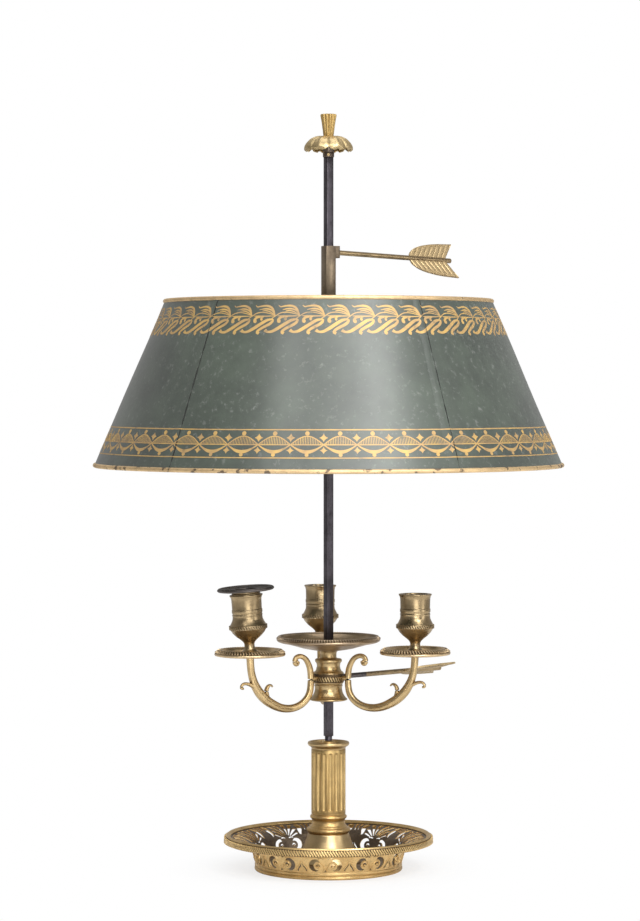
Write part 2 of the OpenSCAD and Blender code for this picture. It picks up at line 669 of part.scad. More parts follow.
module candle_cup(angle) color(brass) at_candle(angle) translate([0, 0, cup_z]) cup_body();
module candle_cup_left() color(brass) leaning() cup_body();
module candle_cup_right() candle_cup(right_az);
module candle_cup_back() candle_cup(back_az);

module cup_stud(angle) color(steel) at_candle(angle) translate([0, 0, arm_top_z - stud_depth])
    cylinder(r = stud_r, h = stud_depth + pan_t + stud_up);
module cup_stud_left() cup_stud(left_az);
module cup_stud_right() cup_stud(right_az);
module cup_stud_back() cup_stud(back_az);

// Loose wax dish on a collar that drops into the left cup
collar_bore = candle_r - 1.5;
module bobeche_collar() color(brass) leaning() translate([0, 0, cup_h]) turned([
    [collar_bore, -spigot_depth], [candle_r - 0.3, -spigot_depth], [candle_r - 0.3, 0],
    [bobeche_collar_r, 0], [bobeche_collar_r, bobeche_collar_h], [collar_bore, bobeche_collar_h]]);

module bobeche_dish() color(wax_dark) leaning() translate([0, 0, cup_h + bobeche_collar_h]) {
    r = bobeche_r;
    top = bobeche_h - 0.6;
    turned([[collar_bore, 0], [bobeche_collar_r + 4, 0], [r - 2, top - 3.4], [r - 0.3, top - 2.6],
        [r, top - 1.6], [r - 0.6, top - 0.5], [r - 1.8, top], [r - 3, top - 0.6],
        [bobeche_collar_r + 3, 1.4], [collar_bore, 1.4]]);
}

// ---- Arrow keys ----

module key_shaft(start) rotate([0, 90, 0]) translate([0, 0, start]) cylinder(r = key_r, h = key_reach - start);

// Two vanes with a swept trailing edge, one on each side of the shaft
module key_vanes() {
    tip = key_reach - 6.6 + vane_sweep;
    front = tip - vane_l;
    rotate([90, 0, 0]) difference() {
        translate([0, 0, -vane_t / 2]) linear_extrude(vane_t) for (side = [0, 1]) mirror([0, side, 0])
            polygon(concat([[front, 0]],
                [for (a = [8:8:80]) [front + vane_l * (1 - cos(a)), vane_h * pow(sin(a), 0.8)]],
                [[tip, vane_h], [tip - vane_sweep, key_r * 0.5], [tip - vane_sweep, 0]]));
        rotate([0, 90, 0]) cylinder(r = key_r, h = key_reach + vane_sweep);
    }
}

module on_cluster_key() translate([0, 0, cluster_key_z]) at_azimuth(cluster_key_az) rotate([0, -key_rise, 0])
    children();
module cluster_key_shaft() color(brass) on_cluster_key() key_shaft(cluster_key_start);
module cluster_key_vanes() color(brass) on_cluster_key() rotate([cluster_key_turn, 0, 0]) key_vanes();

module on_shade_key() translate([0, 0, shade_key_z]) at_azimuth(rod_az) rotate([0, key_droop, 0]) children();
module shade_key_shaft() color(brass) on_shade_key() key_shaft(key_start);
module shade_key_vanes() color(brass) on_shade_key() rotate([shade_key_turn, 0, 0]) key_vanes();

// ---- Shade and its carrier ----

module key_bore() on_shade_key() rotate([0, 90, 0]) cylinder(r = key_hole, h = sleeve_side + sleeve_boss_l + 4);

module shade_sleeve() color(dark_brass) difference() {
    at_azimuth(rod_az) translate([-sleeve_side / 2, -sleeve_side / 2, shade_z - sleeve_down])
        cube([sleeve_side, sleeve_side, sleeve_up + sleeve_down]);
    square_hole(shade_z - sleeve_down - 1, sleeve_up + sleeve_down + 2);
    key_bore();
}

module sleeve_boss() color(dark_brass) difference() {
    at_azimuth(rod_az) translate([sleeve_side / 2, -sleeve_boss_w / 2, shade_key_z - sleeve_boss_h / 2])
        cube([sleeve_boss_l, sleeve_boss_w, sleeve_boss_h]);
    key_bore();
}

// Ring round the sleeve with spokes out to the top bead
module shade_spider() color(dark_brass) difference() {
    union() {
        translate([0, 0, shade_z - spider_ring_h / 2]) cylinder(r = spider_ring_r, h = spider_ring_h);
        for (i = [0:spokes - 1]) at_azimuth(spoke_az + i * 360 / spokes) translate([0, 0, shade_z])
            rotate([0, 90, 0]) cylinder(r = spoke_r, h = shade_top_r - bead_r);
    }
    at_azimuth(rod_az) translate([-sleeve_side / 2, -sleeve_side / 2, shade_z - spider_ring_h])
        cube([sleeve_side, sleeve_side, 2 * spider_ring_h]);
}

// Section of the sheet between the two beads, from one side of it to the other
function sheet_point(along, across) = [shade_top_r, shade_z] + along * [sin(slope), -cos(slope)]
    + across * [cos(slope), sin(slope)];
sheet_l = shade_h / cos(slope);
module sheet_section(inset, low, high) polygon([sheet_point(inset, low), sheet_point(sheet_l - inset, low),
    sheet_point(sheet_l - inset, high), sheet_point(inset, high)]);

// One panel, and the lap that it lays over its neighbour's edge
module shade_panel(index) color(green_paint) at_azimuth(seam_az + index * panel_deg) {
    rotate_extrude(angle = panel_deg) sheet_section(0, -sheet_t / 2, sheet_t / 2);
    at_azimuth(-lap_deg) rotate_extrude(angle = 2 * lap_deg)
        sheet_section(bead_r + 0.6, sheet_t / 2, 1.5 * sheet_t);
}
module shade_panel_1() shade_panel(0);
module shade_panel_2() shade_panel(1);
module shade_panel_3() shade_panel(2);
module shade_panel_4() shade_panel(3);
module shade_panel_5() shade_panel(4);

module shade_bead(radius, z) color(gilt) rotate_extrude() difference() {
    translate([radius, z]) circle(bead_r, $fn = 24);
    sheet_section(0, -sheet_t / 2, sheet_t / 2);
}
module shade_top_bead() shade_bead(shade_top_r, shade_z);
module shade_bottom_bead() shade_bead(shade_bottom_r, shade_z - shade_h);

foot_ring();
dish_floor();
gallery_wall_1();
gallery_wall_2();
gallery_wall_3();
gallery_wall_4();
gallery_wall_5();
gallery_rim();
column_foot();
base_ring();
shaft_ring();
fluted_shaft();
column_lip();
column_boss();
rod();
base_washer();
base_nut();
finial_collar();
collar_screw();
leaf_canopy();
finial_torch();
cluster_hub();
hub_cap();
centre_pan();
arm_left();
arm_right();
arm_back();
candle_pan_left();
candle_pan_right();
candle_pan_back();
candle_cup_left();
candle_cup_right();
candle_cup_back();
cup_stud_left();
cup_stud_right();
cup_stud_back();
bobeche_collar();
bobeche_dish();
cluster_key_shaft();
cluster_key_vanes();
shade_sleeve();
sleeve_boss();
shade_spider();
shade_panel_1();
shade_panel_2();
shade_panel_3();
shade_panel_4();
shade_panel_5();
shade_top_bead();
shade_bottom_bead();
shade_key_shaft();
shade_key_vanes();
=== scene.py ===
from math import asin, atan2, cos, degrees, hypot, pi, radians, sin

import bpy
from mathutils import Matrix, Vector


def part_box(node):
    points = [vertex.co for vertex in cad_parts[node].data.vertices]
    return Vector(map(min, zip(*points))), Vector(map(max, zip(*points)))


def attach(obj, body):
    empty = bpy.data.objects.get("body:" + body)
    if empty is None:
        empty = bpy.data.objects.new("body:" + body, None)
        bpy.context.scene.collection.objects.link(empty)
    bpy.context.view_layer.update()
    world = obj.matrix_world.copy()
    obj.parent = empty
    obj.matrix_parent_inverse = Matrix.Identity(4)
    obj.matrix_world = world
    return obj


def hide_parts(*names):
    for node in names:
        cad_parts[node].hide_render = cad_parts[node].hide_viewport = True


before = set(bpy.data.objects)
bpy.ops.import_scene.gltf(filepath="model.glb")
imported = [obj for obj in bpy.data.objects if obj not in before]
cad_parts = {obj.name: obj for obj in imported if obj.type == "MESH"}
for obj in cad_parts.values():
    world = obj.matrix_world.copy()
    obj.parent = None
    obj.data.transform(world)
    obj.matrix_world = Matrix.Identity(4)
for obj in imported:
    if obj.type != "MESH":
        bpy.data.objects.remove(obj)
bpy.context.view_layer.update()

mm = 0.001

# ---- Camera ----
# The lamp is seen from well back through a long lens, with the eye a little below the bottom edge of
# the shade and the view tipped down.
eye = (-7.3 * mm, -2709 * mm, 423.6 * mm)
tip_down = 1.5
bpy.ops.object.select_all(action="DESELECT")
bpy.ops.object.camera_add(location=eye, rotation=(radians(90 - tip_down), 0, 0))
camera = bpy.context.object
camera.data.sensor_width = 36
camera.data.lens = 123.1
bpy.context.scene.camera = camera
bpy.context.scene.view_settings.view_transform = "Standard"

# ---- Floor and light ----
# A pale floor that turns to plain white away from the lamp, a white background, a grey room that only
# the metal sees, and a large soft box above and a little right of the camera with five weaker lights.
def add_node(tree, kind, inputs=None, **settings):
    """Add a shader node, with its settings and the constant values of its inputs."""
    node = tree.nodes.new("ShaderNode" + kind)
    for name, value in settings.items():
        setattr(node, name, value)
    for name, value in (inputs or {}).items():
        node.inputs[name].default_value = value
    return node


def wire(tree, *links):
    """Link nodes, each link given as (node, output, node, input)."""
    for source, output, target, entry in links:
        tree.links.new(source.outputs[output], target.inputs[entry])


def spread(tree, source, output, low, high, to_low=0, to_high=1, **settings):
    """Stretch the part of a value that lies between two limits to another pair of limits."""
    span = add_node(tree, "MapRange", {"From Min": low, "From Max": high, "To Min": to_low,
                                       "To Max": to_high}, **settings)
    wire(tree, (source, output, span, "Value"))
    return span


def add_mesh(add, name="", **settings):
    """Add a mesh with one of Blender's own tools, with nothing else selected, and name it."""
    bpy.ops.object.select_all(action="DESELECT")
    add(**settings)
    piece = bpy.context.object
    piece.name = name or piece.name
    return piece


def new_material(name, values):
    """A new material, its node tree and its shader, with the shader's constant values."""
    material = bpy.data.materials.new(name)
    material.use_nodes = True
    shader = material.node_tree.nodes["Principled BSDF"]
    for entry, value in values.items():
        shader.inputs[entry].default_value = value
    return material, material.node_tree, shader


def colour_ramp(tree, *stops):
    """Add a colour ramp, with a colour at each place from 0 to 1."""
    ramp = add_node(tree, "ValToRGB")
    for i, (place, colour) in enumerate(stops):
        stop = ramp.color_ramp.elements[i] if i < 2 else ramp.color_ramp.elements.new(place)
        stop.position = place
        stop.color = (*colour, 1)
    return ramp


floor_reach = 7
shadow_reach = 0.15
floor = add_mesh(bpy.ops.mesh.primitive_circle_add, "studio_floor", vertices=128, radius=floor_reach,
                 fill_type="NGON")
floor_white, tree, paper = new_material("studio_floor_white", {"Base Color": (0.86, 0.86, 0.86, 1),
                                                               "Roughness": 0.9})
glow = add_node(tree, "Emission")
place = add_node(tree, "TexCoord")
distance = add_node(tree, "VectorMath", operation="LENGTH")
far = spread(tree, distance, "Value", 0.05, shadow_reach, 0.72, interpolation_type="SMOOTHSTEP")
path = add_node(tree, "LightPath")
share = add_node(tree, "Math", operation="MULTIPLY")
blend = add_node(tree, "MixShader")
wire(tree, (place, "Object", distance, 0), (path, "Is Camera Ray", share, 0), (far, "Result", share, 1),
     (share, 0, blend, "Fac"), (paper, 0, blend, 1), (glow, 0, blend, 2),
     (blend, 0, tree.nodes["Material Output"], "Surface"))
floor.data.materials.append(floor_white)

world = bpy.data.worlds.new("studio")
bpy.context.scene.world = world
world.use_nodes = True
tree = world.node_tree
plain = tree.nodes["Background"]
plain.inputs["Color"].default_value = (1, 1, 1, 1)
room = add_node(tree, "Background", {"Strength": 0.8})
look = add_node(tree, "TexCoord")
axes = add_node(tree, "SeparateXYZ")
span = spread(tree, axes, "Y", -1, 1)
greys = colour_ramp(tree, (0.2, (0.2, 0.195, 0.195)), (0.8, (0.6, 0.59, 0.59)))
path = add_node(tree, "LightPath")
blend = add_node(tree, "MixShader")
wire(tree, (look, "Generated", axes, 0), (span, "Result", greys, "Fac"), (greys, "Color", room, "Color"),
     (path, "Is Camera Ray", blend, "Fac"), (room, 0, blend, 1), (plain, 0, blend, 2),
     (blend, 0, tree.nodes["World Output"], "Surface"))

lamp_middle = Vector((0, 0, 0.33))
for lamp_name, stand, width, height, watts in [
    ("soft_box", (0.55, -1.95, 1.6), 1.4, 1.6, 36),
    ("high_right", (0.85, -1.15, 1.95), 0.7, 0.9, 16),
    ("fill_right", (1.9, -1.0, 0.7), 0.5, 1.3, 7),
    ("high_left", (-0.62, -1.3, 1.9), 0.6, 0.8, 9),
    ("fill_low", (0.35, -2.0, 0.22), 1.1, 0.35, 7),
    ("overhead", (0.0, 0.3, 2.3), 1.4, 1.2, 10),
]:
    aim = (lamp_middle - Vector(stand)).to_track_quat("-Z", "Y").to_euler()
    bpy.ops.object.light_add(type="AREA", location=stand, rotation=aim)
    lamp = bpy.context.object
    lamp.name = lamp_name
    lamp.data.shape = "RECTANGLE"
    lamp.data.size = width
    lamp.data.size_y = height
    lamp.data.energy = watts

# ---- Foot ring ----
# The dish stands on a cast brass ring of two mouldings, turned, gilded and worn. A ledge inside it
# carries the floor plate.
def extent(node):
    """Radius, bottom and top of a CAD node's box, in millimetres."""
    low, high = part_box(node)
    return high.x / mm, low.z / mm, high.z / mm


def open_mesh(pick=None, by=None):
    """Open the active mesh, taken by VERT, EDGE or FACE, and SELECT or DESELECT all of it."""
    bpy.ops.object.mode_set(mode="EDIT")
    if by:
        bpy.ops.mesh.select_mode(type=by)
    if pick:
        bpy.ops.mesh.select_all(action=pick)


def close_mesh():
    """Close the active mesh, back to moving whole pieces."""
    bpy.ops.object.mode_set(mode="OBJECT")


def seal(merge=0):
    """Merge the points of the active mesh that fall together, turn its faces outwards, and close it."""
    open_mesh("SELECT")
    if merge:
        bpy.ops.mesh.remove_doubles(threshold=merge * mm)
    bpy.ops.mesh.normals_make_consistent(inside=False)
    close_mesh()


def smooth(angle):
    """Shade the active piece smooth, apart from edges sharper than an angle in degrees."""
    bpy.ops.object.shade_smooth_by_angle(angle=radians(angle))


def turn_on_lathe(name, section, soften=0.3, steps=180):
    """Spin a closed section, as (radius, height) in millimetres, round the lamp's axis."""
    turned = add_mesh(bpy.ops.mesh.primitive_plane_add, name, size=mm)
    turned.data.name = name
    open_mesh(by="VERT")
    bpy.ops.mesh.merge(type="CENTER")
    bpy.ops.transform.translate(value=(section[0][0] * mm, 0, section[0][1] * mm))
    for start, end in zip(section, section[1:] + section[:1]):
        step = ((end[0] - start[0]) * mm, 0, (end[1] - start[1]) * mm)
        bpy.ops.mesh.extrude_vertices_move(TRANSFORM_OT_translate={"value": step})
    bpy.ops.mesh.select_all(action="SELECT")
    bpy.ops.mesh.remove_doubles(threshold=0.001 * mm)
    bpy.ops.mesh.bevel(offset=soften * mm, segments=2, affect="VERTICES", clamp_overlap=True)
    bpy.ops.mesh.spin(steps=steps, angle=2 * pi, center=(0, 0, 0), axis=(0, 0, 1))
    seal(0.001)
    smooth(38)
    return turned


def noise(tree, scale, detail, rough=0.5):
    """Add noise that stays with the piece."""
    texture = add_node(tree, "TexNoise", {"Scale": scale, "Detail": detail, "Roughness": rough})
    wire(tree, (add_node(tree, "TexCoord"), "Object", texture, "Vector"))
    return texture


def aged_metal(name, bright, dull, grime_and_shade=(0.075, 0.052, 0.032), rough=(0.24, 0.42), crevice=1.6,
               speckle=0.25, ring_marks=0.0, middle=(0, 0), pitted=0.12):
    """Worn metal: clouded colour, hollows darkened by patina and by painted shade, fine pits and, where it was
    turned, fine rings.
    """
    metal, tree, shader = new_material(name, {"Metallic": 1})
    clouds = noise(tree, 70, 5, 0.62)
    pits = noise(tree, 900, 3)
    tone = spread(tree, clouds, "Fac", 0.34, 0.66)
    colour = add_node(tree, "Mix", {"A": (*dull, 1), "B": (*bright, 1)}, data_type="RGBA")
    spots = spread(tree, pits, "Fac", 0.52, 0.72, 0, speckle)
    # Ambient occlusion pulls the colour towards the grime colour in hollows and creases: real patina there,
    # and painted shade where the hollows fall dark.
    hollow = add_node(tree, "AmbientOcclusion", {"Distance": crevice * mm}, only_local=True, samples=6)
    shade = spread(tree, hollow, "AO", 0.35, 0.8, 0.88, 0)
    pits_and_shade = add_node(tree, "Math", operation="MAXIMUM")
    stained_and_shaded = add_node(tree, "Mix", {"B": (*grime_and_shade, 1)}, data_type="RGBA")
    gloss = spread(tree, clouds, "Fac", 0.3, 0.7, rough[1], rough[0])
    dulled = add_node(tree, "Math", {1: 0.35}, operation="MULTIPLY_ADD")
    dents = add_node(tree, "Bump", {"Strength": pitted, "Distance": 0.05 * mm})
    wire(tree, (tone, "Result", colour, "Factor"), (shade, "Result", pits_and_shade, 0), (spots, "Result", pits_and_shade, 1),
         (pits_and_shade, 0, stained_and_shaded, "Factor"), (colour, "Result", stained_and_shaded, "A"),
         (stained_and_shaded, "Result", shader, "Base Color"), (pits_and_shade, 0, dulled, 0), (gloss, "Result", dulled, 2),
         (dulled, 0, shader, "Roughness"), (pits, "Fac", dents, "Height"))
    last = dents
    if ring_marks:
        place = add_node(tree, "TexCoord")
        centred = add_node(tree, "VectorMath", {1: (*middle, 0)}, operation="SUBTRACT")
        flat = add_node(tree, "VectorMath", {1: (1, 1, 0)}, operation="MULTIPLY")
        radius = add_node(tree, "VectorMath", operation="LENGTH")
        axes = add_node(tree, "SeparateXYZ")
        rings = add_node(tree, "CombineXYZ")
        turned = add_node(tree, "TexNoise", {"Scale": 1600, "Detail": 2})
        last = add_node(tree, "Bump", {"Strength": ring_marks, "Distance": 0.06 * mm})
        wire(tree, (place, "Object", centred, 0), (centred, 0, flat, 0), (flat, 0, radius, 0),
             (centred, 0, axes, 0), (radius, "Value", rings, "X"), (axes, "Z", rings, "Y"),
             (rings, 0, turned, "Vector"), (turned, "Fac", last, "Height"), (dents, "Normal", last, "Normal"))
    wire(tree, (last, "Normal", shader, "Normal"))
    return metal


def dress(piece, material, body, slot, *nodes, groove=None):
    """Give a piece its material and body and hide the CAD nodes it stands for. The slot is not used."""
    slots = piece.data.materials
    if not slots:
        slots.append(None)
    slots[0] = material
    if groove:
        slots[1] = groove
    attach(piece, body)
    if nodes:
        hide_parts(*nodes)


base_brass = aged_metal("base_gilt_brass", (0.80, 0.575, 0.265), (0.60, 0.42, 0.19),
                        rough=(0.3, 0.46), crevice=1.0)
foot_r, foot_z, foot_h = extent("foot_ring")
foot_in = foot_r - 3
foot_split = foot_h / 2
foot_ring = turn_on_lathe("foot_ring_turned", [
    (foot_in, foot_z), (foot_r - 0.7, foot_z), (foot_r, 0.9), (foot_r, foot_split - 0.9),
    (foot_r - 0.9, foot_split), (foot_r - 0.3, foot_split + 0.5), (foot_r - 0.2, foot_h - 0.8),
    (foot_r - 0.6, foot_h - 0.3), (foot_r - 0.6, foot_h), (foot_in, foot_h), (foot_in, foot_h - 1.6),
    (foot_in - 3, foot_h - 1.6), (foot_in - 3, foot_h - 3.1), (foot_in, foot_h - 3.1)])
dress(foot_ring, base_brass, "root", "base_brass", "foot_ring")

# ---- Floor plate and its fixings ----
# The floor of the dish is a plain brass plate, browned by age. A washer and a hexagon nut under it
# hold the rod.
def colour_solid(node, material):
    """Give its material to a CAD solid that is shown as it is."""
    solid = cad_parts[node]
    solid.data.materials.clear()
    solid.data.materials.append(material)


floor_brass = aged_metal("floor_brown_brass", (0.30, 0.22, 0.13), (0.17, 0.12, 0.075), (0.05, 0.035, 0.025),
                         rough=(0.38, 0.6), speckle=0.5, ring_marks=0.25)
fixing_steel = aged_metal("fixing_steel", (0.22, 0.20, 0.19), (0.14, 0.12, 0.11), (0.05, 0.03, 0.02),
                          rough=(0.4, 0.6))
colour_solid("dish_floor", floor_brass)
colour_solid("base_washer", floor_brass)
colour_solid("base_nut", fixing_steel)

# ---- Pierced wall ----
# The wall of the dish is a cast, pierced and chased brass band that flares out under the rim: ten pairs
# of scrolls with a palmette over each pair and a smaller one between the pairs. One repeat is cut and
# chased flat, and ten of them are bent round the dish.
wall_foot = (foot_r - 0.6, foot_h)
wall_top = (66, 17)
flare_w = 21.5
flare_h = 9.8
wall_t = 1.1
pairs = 10
slices = 26
cut_edge = 0.28
first_pair = -92.4
repeat_w = 2 * pi * wall_top[0] / pairs
half_w = repeat_w / 2
wall_line = [wall_foot]
for turn in range(0, 91, 6):
    wall_line.append((wall_top[0] + flare_w * (1 - cos(radians(turn))),
                      wall_top[1] + flare_h * sin(radians(turn))))
wall_marks = [0.0]
for start, end in zip(wall_line, wall_line[1:]):
    wall_marks.append(wall_marks[-1] + hypot(end[0] - start[0], end[1] - start[1]))
wall_l = wall_marks[-1]


def on_wall(along):
    """Radius and height, and the outward direction, of the point that lies so far up the wall."""
    along = min(max(along, 0), wall_l - 0.001)
    i = max(k for k, mark in enumerate(wall_marks) if mark <= along)
    start, end = wall_line[i], wall_line[i + 1]
    length = wall_marks[i + 1] - wall_marks[i]
    t = (along - wall_marks[i]) / length
    lean = ((end[0] - start[0]) / length, (end[1] - start[1]) / length)
    return start[0] + t * (end[0] - start[0]), start[1] + t * (end[1] - start[1]), (lean[1], -lean[0])


def bend_to_wall(piece):
    """Take a piece that is laid out flat, X round the dish, Y up the wall and Z outwards, to its place."""
    for vertex in piece.data.vertices:
        r, z, out = on_wall(vertex.co.y / mm)
        angle = radians(first_pair) + vertex.co.x / mm / wall_top[0]
        r += out[0] * vertex.co.z / mm
        z += out[1] * vertex.co.z / mm
        vertex.co = (r * cos(angle) * mm, r * sin(angle) * mm, z * mm)


def arc_points(centre, r, start, end, n):
    """Points of an arc, from one angle in degrees to another, in n steps."""
    return [(centre[0] + r * cos(radians(start + (end - start) * i / n)),
             centre[1] + r * sin(radians(start + (end - start) * i / n))) for i in range(n + 1)]


def cut_outline(outline, reach=4):
    """A prism through the flat wall, from an outline in millimetres."""
    prism = add_mesh(bpy.ops.mesh.primitive_circle_add, vertices=len(outline), radius=mm, fill_type="NGON")
    for vertex, point in zip(prism.data.vertices, outline):
        vertex.co = (point[0] * mm, point[1] * mm, -reach * mm)
    open_mesh("SELECT")
    bpy.ops.mesh.extrude_region_move(TRANSFORM_OT_translate={"value": (0, 0, 2 * reach * mm)})
    seal()
    return prism


def alone(piece):
    """Select one piece and make it the active one."""
    bpy.ops.object.select_all(action="DESELECT")
    piece.select_set(True)
    bpy.context.view_layer.objects.active = piece


def modify(piece, kind, **settings):
    """Add a modifier to a piece, set it and apply it."""
    alone(piece)
    bpy.ops.object.modifier_add(type=kind)
    for name, value in settings.items():
        setattr(piece.modifiers[-1], name, value)
    bpy.ops.object.modifier_apply(modifier=piece.modifiers[-1].name)


def join(first, *others):
    """Join pieces into the first one."""
    alone(first)
    for other in others:
        other.select_set(True)
    bpy.ops.object.join()
    return first


def settle():
    """Put the active piece's place, turn and scale into its mesh."""
    bpy.ops.object.transform_apply(location=True, rotation=True, scale=True)


def mark_faces(piece, dark):
    """Give a piece two materials, the second one for the faces that pass a test."""
    for slot in range(2):
        piece.data.materials.append(None)
    for face in piece.data.polygons:
        face.material_index = 1 if dark(face) else 0


def slit(root, lean, start, end, root_w, end_w):
    """Outline of a slit with a round outer end, from start to end along a line that leans from upright."""
    c, s = cos(radians(lean)), sin(radians(lean))
    shape = [(-root_w / 2, start), (root_w / 2, start), (end_w / 2, end - end_w / 2)]
    shape += arc_points((0, end - end_w / 2), end_w / 2, 22, 158, 4) + [(-end_w / 2, end - end_w / 2)]
    return [(root[0] + x * c + y * s, root[1] - x * s + y * c) for x, y in shape]


curl = (6.4, 6.3)
curl_r = 3.8
moon = (8.7, 6.7)
moon_r = 5.7
eye_r = 1.9


def wall_cuts(side):
    """Outlines of the openings of half a repeat. Side is 1 or -1."""
    aim = degrees(atan2(moon[1] - curl[1], moon[0] - curl[0]))
    crescent = arc_points(moon, moon_r, aim - 108, aim + 104, 16)
    crescent += arc_points(curl, curl_r, aim + 98, aim - 104, 14)
    eye = arc_points(curl, eye_r, -10, 190, 8)
    eye += arc_points((curl[0], curl[1] - 0.5), eye_r - 0.75, 190, -10, 8)
    brow = arc_points((4.2, 9.6), 4.3, 55, 130, 6) + arc_points((4.2, 9.6), 3.3, 125, 60, 6)
    ogee = [(half_w - 0.3, 9.2), (half_w - 1.5, 6.6), (half_w - 4.0, 3.4), (half_w - 4.7, 1.4),
            (half_w - 3.6, 1.4), (half_w - 3.0, 3.1), (half_w - 0.7, 5.8)]
    window = [(13.2, 15.6), (14.8, 14.6), (15.6, 17.8), (16.7, 21.2), (17.1, 26.0), (16.5, 30.4),
              (14.7, 32.6), (12.9, 30.8), (12.3, 27.5), (13.1, 24.0), (12.7, 20.5), (12.6, 17.8)]
    cuts = [crescent, eye, brow, ogee, window]
    cuts += [slit((1.0, 14.5), 8, 0.6, 18.6, 0.9, 3.2), slit((1.9, 13.9), 24, 0.8, 19.0, 0.9, 3.1),
             slit((2.7, 13.3), 42, 1.2, 12.6, 0.9, 2.7), slit((3.4, 12.9), 64, 2.0, 9.3, 0.8, 1.9)]
    cuts += [slit((half_w - 1.2, 19.5), -3, 0.5, 12.8, 0.8, 2.0)]
    return [[(side * x, y) for x, y in cut] for cut in cuts]


wall = add_mesh(bpy.ops.mesh.primitive_cube_add, "pierced_wall", size=1,
                location=(0, wall_l / 2 * mm, -wall_t / 2 * mm))
wall.scale = (repeat_w * mm, wall_l * mm, wall_t * mm)
settle()
tie_mark = [(-1.4, 0.8), (1.4, 0.8), (0, 2.8)]
cutter = join(*[cut_outline(outline) for outline in [tie_mark] + wall_cuts(1) + wall_cuts(-1)])
modify(wall, "BOOLEAN", operation="DIFFERENCE", solver="EXACT", use_self=True, object=cutter)
bpy.data.objects.remove(cutter)
open_mesh("DESELECT")
close_mesh()
for face in wall.data.polygons:
    face.select = abs(face.normal.x) > 0.99 and abs(abs(face.center.x) - half_w * mm) < 0.01 * mm
open_mesh()
bpy.ops.mesh.delete(type="FACE")
bpy.ops.mesh.select_all(action="DESELECT")
close_mesh()
for edge in wall.data.edges:
    a, b = (wall.data.vertices[i].co for i in edge.vertices)
    flat = abs(a.z - b.z) < 0.001 * mm and a.z > -0.001 * mm
    side = abs(abs(a.x) - half_w * mm) < 0.01 * mm and abs(abs(b.x) - half_w * mm) < 0.01 * mm
    ends = abs(a.y - b.y) < 0.001 * mm and (a.y < 0.01 * mm or a.y > (wall_l - 0.01) * mm)
    edge.select = flat and not side and not ends
open_mesh(by="EDGE")
bpy.ops.mesh.bevel(offset=cut_edge * mm, segments=2, affect="EDGES", clamp_overlap=True)
for axis, length in [((1, 0, 0), repeat_w), ((0, 1, 0), wall_l)]:
    start = -0.5 * axis[0]
    for i in range(1, slices):
        bpy.ops.mesh.select_all(action="SELECT")
        plane = [side * (i / slices + start) * length * mm for side in axis]
        bpy.ops.mesh.bisect(plane_co=plane, plane_no=axis)
close_mesh()
mark_faces(wall, lambda face: face.normal.z < -0.5)


# Chased ribs on the wall: the scroll that rolls into each eye, its ball, and the veins of the palmettes.
def chase(points, r):
    """A half-round rib along points in millimetres, laid on the flat wall."""
    bpy.ops.object.select_all(action="DESELECT")
    bpy.ops.curve.primitive_bezier_curve_add()
    rib = bpy.context.object
    rib.data.splines.clear()
    line = rib.data.splines.new("POLY")
    line.points.add(len(points) - 1)
    for node, (x, y, w) in zip(line.points, points):
        node.co = (x * mm, y * mm, 0, 1)
        node.radius = w
    rib.data.dimensions = "3D"
    rib.data.bevel_depth = r * mm
    rib.data.bevel_resolution = 1
    rib.data.use_fill_caps = True
    bpy.ops.object.convert(target="MESH")
    return bpy.context.object


ribs = []
for side in (-1, 1):
    scroll = [(0.9, 2.4, 0.7), (1.5, 4.2, 1), (2.1, 6.8, 1)]
    for k in range(15):
        turn = radians(165 - k * 22)
        reach = curl_r - 0.35 - 0.13 * k
        scroll.append((curl[0] + reach * cos(turn), curl[1] + reach * sin(turn), 1 - 0.02 * k))
    for points, r in [(scroll, 0.55),
                      ([(2.6, 16.4, 0.6), (4.8, 24.0, 1), (6.7, 31.0, 0.7)], 0.4),
                      ([(3.8, 15.8, 0.6), (7.4, 21.3, 1), (10.6, 27.0, 0.7)], 0.4),
                      ([(4.6, 14.8, 0.6), (8.0, 17.3, 1), (11.0, 19.6, 0.7)], 0.4),
                      ([(half_w - 5.6, 1.0, 0.7), (half_w - 5.0, 3.6, 1), (half_w - 2.4, 7.2, 1),
                        (half_w - 0.6, 11.2, 0.7)], 0.4)]:
        ribs.append(chase([(side * x, y, girth) for x, y, girth in points], r))
    bpy.ops.mesh.primitive_uv_sphere_add(segments=14, ring_count=8, radius=1.15 * mm,
                                         location=(side * curl[0] * mm, (curl[1] - 0.5) * mm, -0.1 * mm))
    ribs.append(bpy.context.object)
ribs.append(chase([(0, 13.5, 0.7), (0, 22, 1), (0, 33.5, 0.6)], 0.4))
ribs.append(chase([(-half_w, 20.5, 0.7), (-half_w, 27, 1), (-half_w, 33.5, 0.6)], 0.4))
chasing = join(*ribs)
settle()
chasing.name = "wall_chasing"
for piece in (wall, chasing):
    modify(piece, "ARRAY", count=pairs, use_relative_offset=False, use_constant_offset=True,
           constant_offset_displace=(repeat_w * mm, 0, 0))
    bend_to_wall(piece)
    seal(0.01)
    smooth(40)
wall_brass = aged_metal("wall_chased_brass", (0.90, 0.67, 0.33), (0.67, 0.465, 0.21), rough=(0.34, 0.48),
                        crevice=1.8)
# The inside of the wall was never gilded and has tarnished brown.
inner_brown = aged_metal("wall_tarnished_inside", (0.24, 0.185, 0.13), (0.13, 0.10, 0.075),
                         (0.04, 0.03, 0.02), rough=(0.36, 0.52), crevice=2.2)
dress(wall, wall_brass, "root", "base_brass", *["gallery_wall_%d" % k for k in range(1, 6)],
      groove=inner_brown)
dress(chasing, wall_brass, "root", "base_brass")

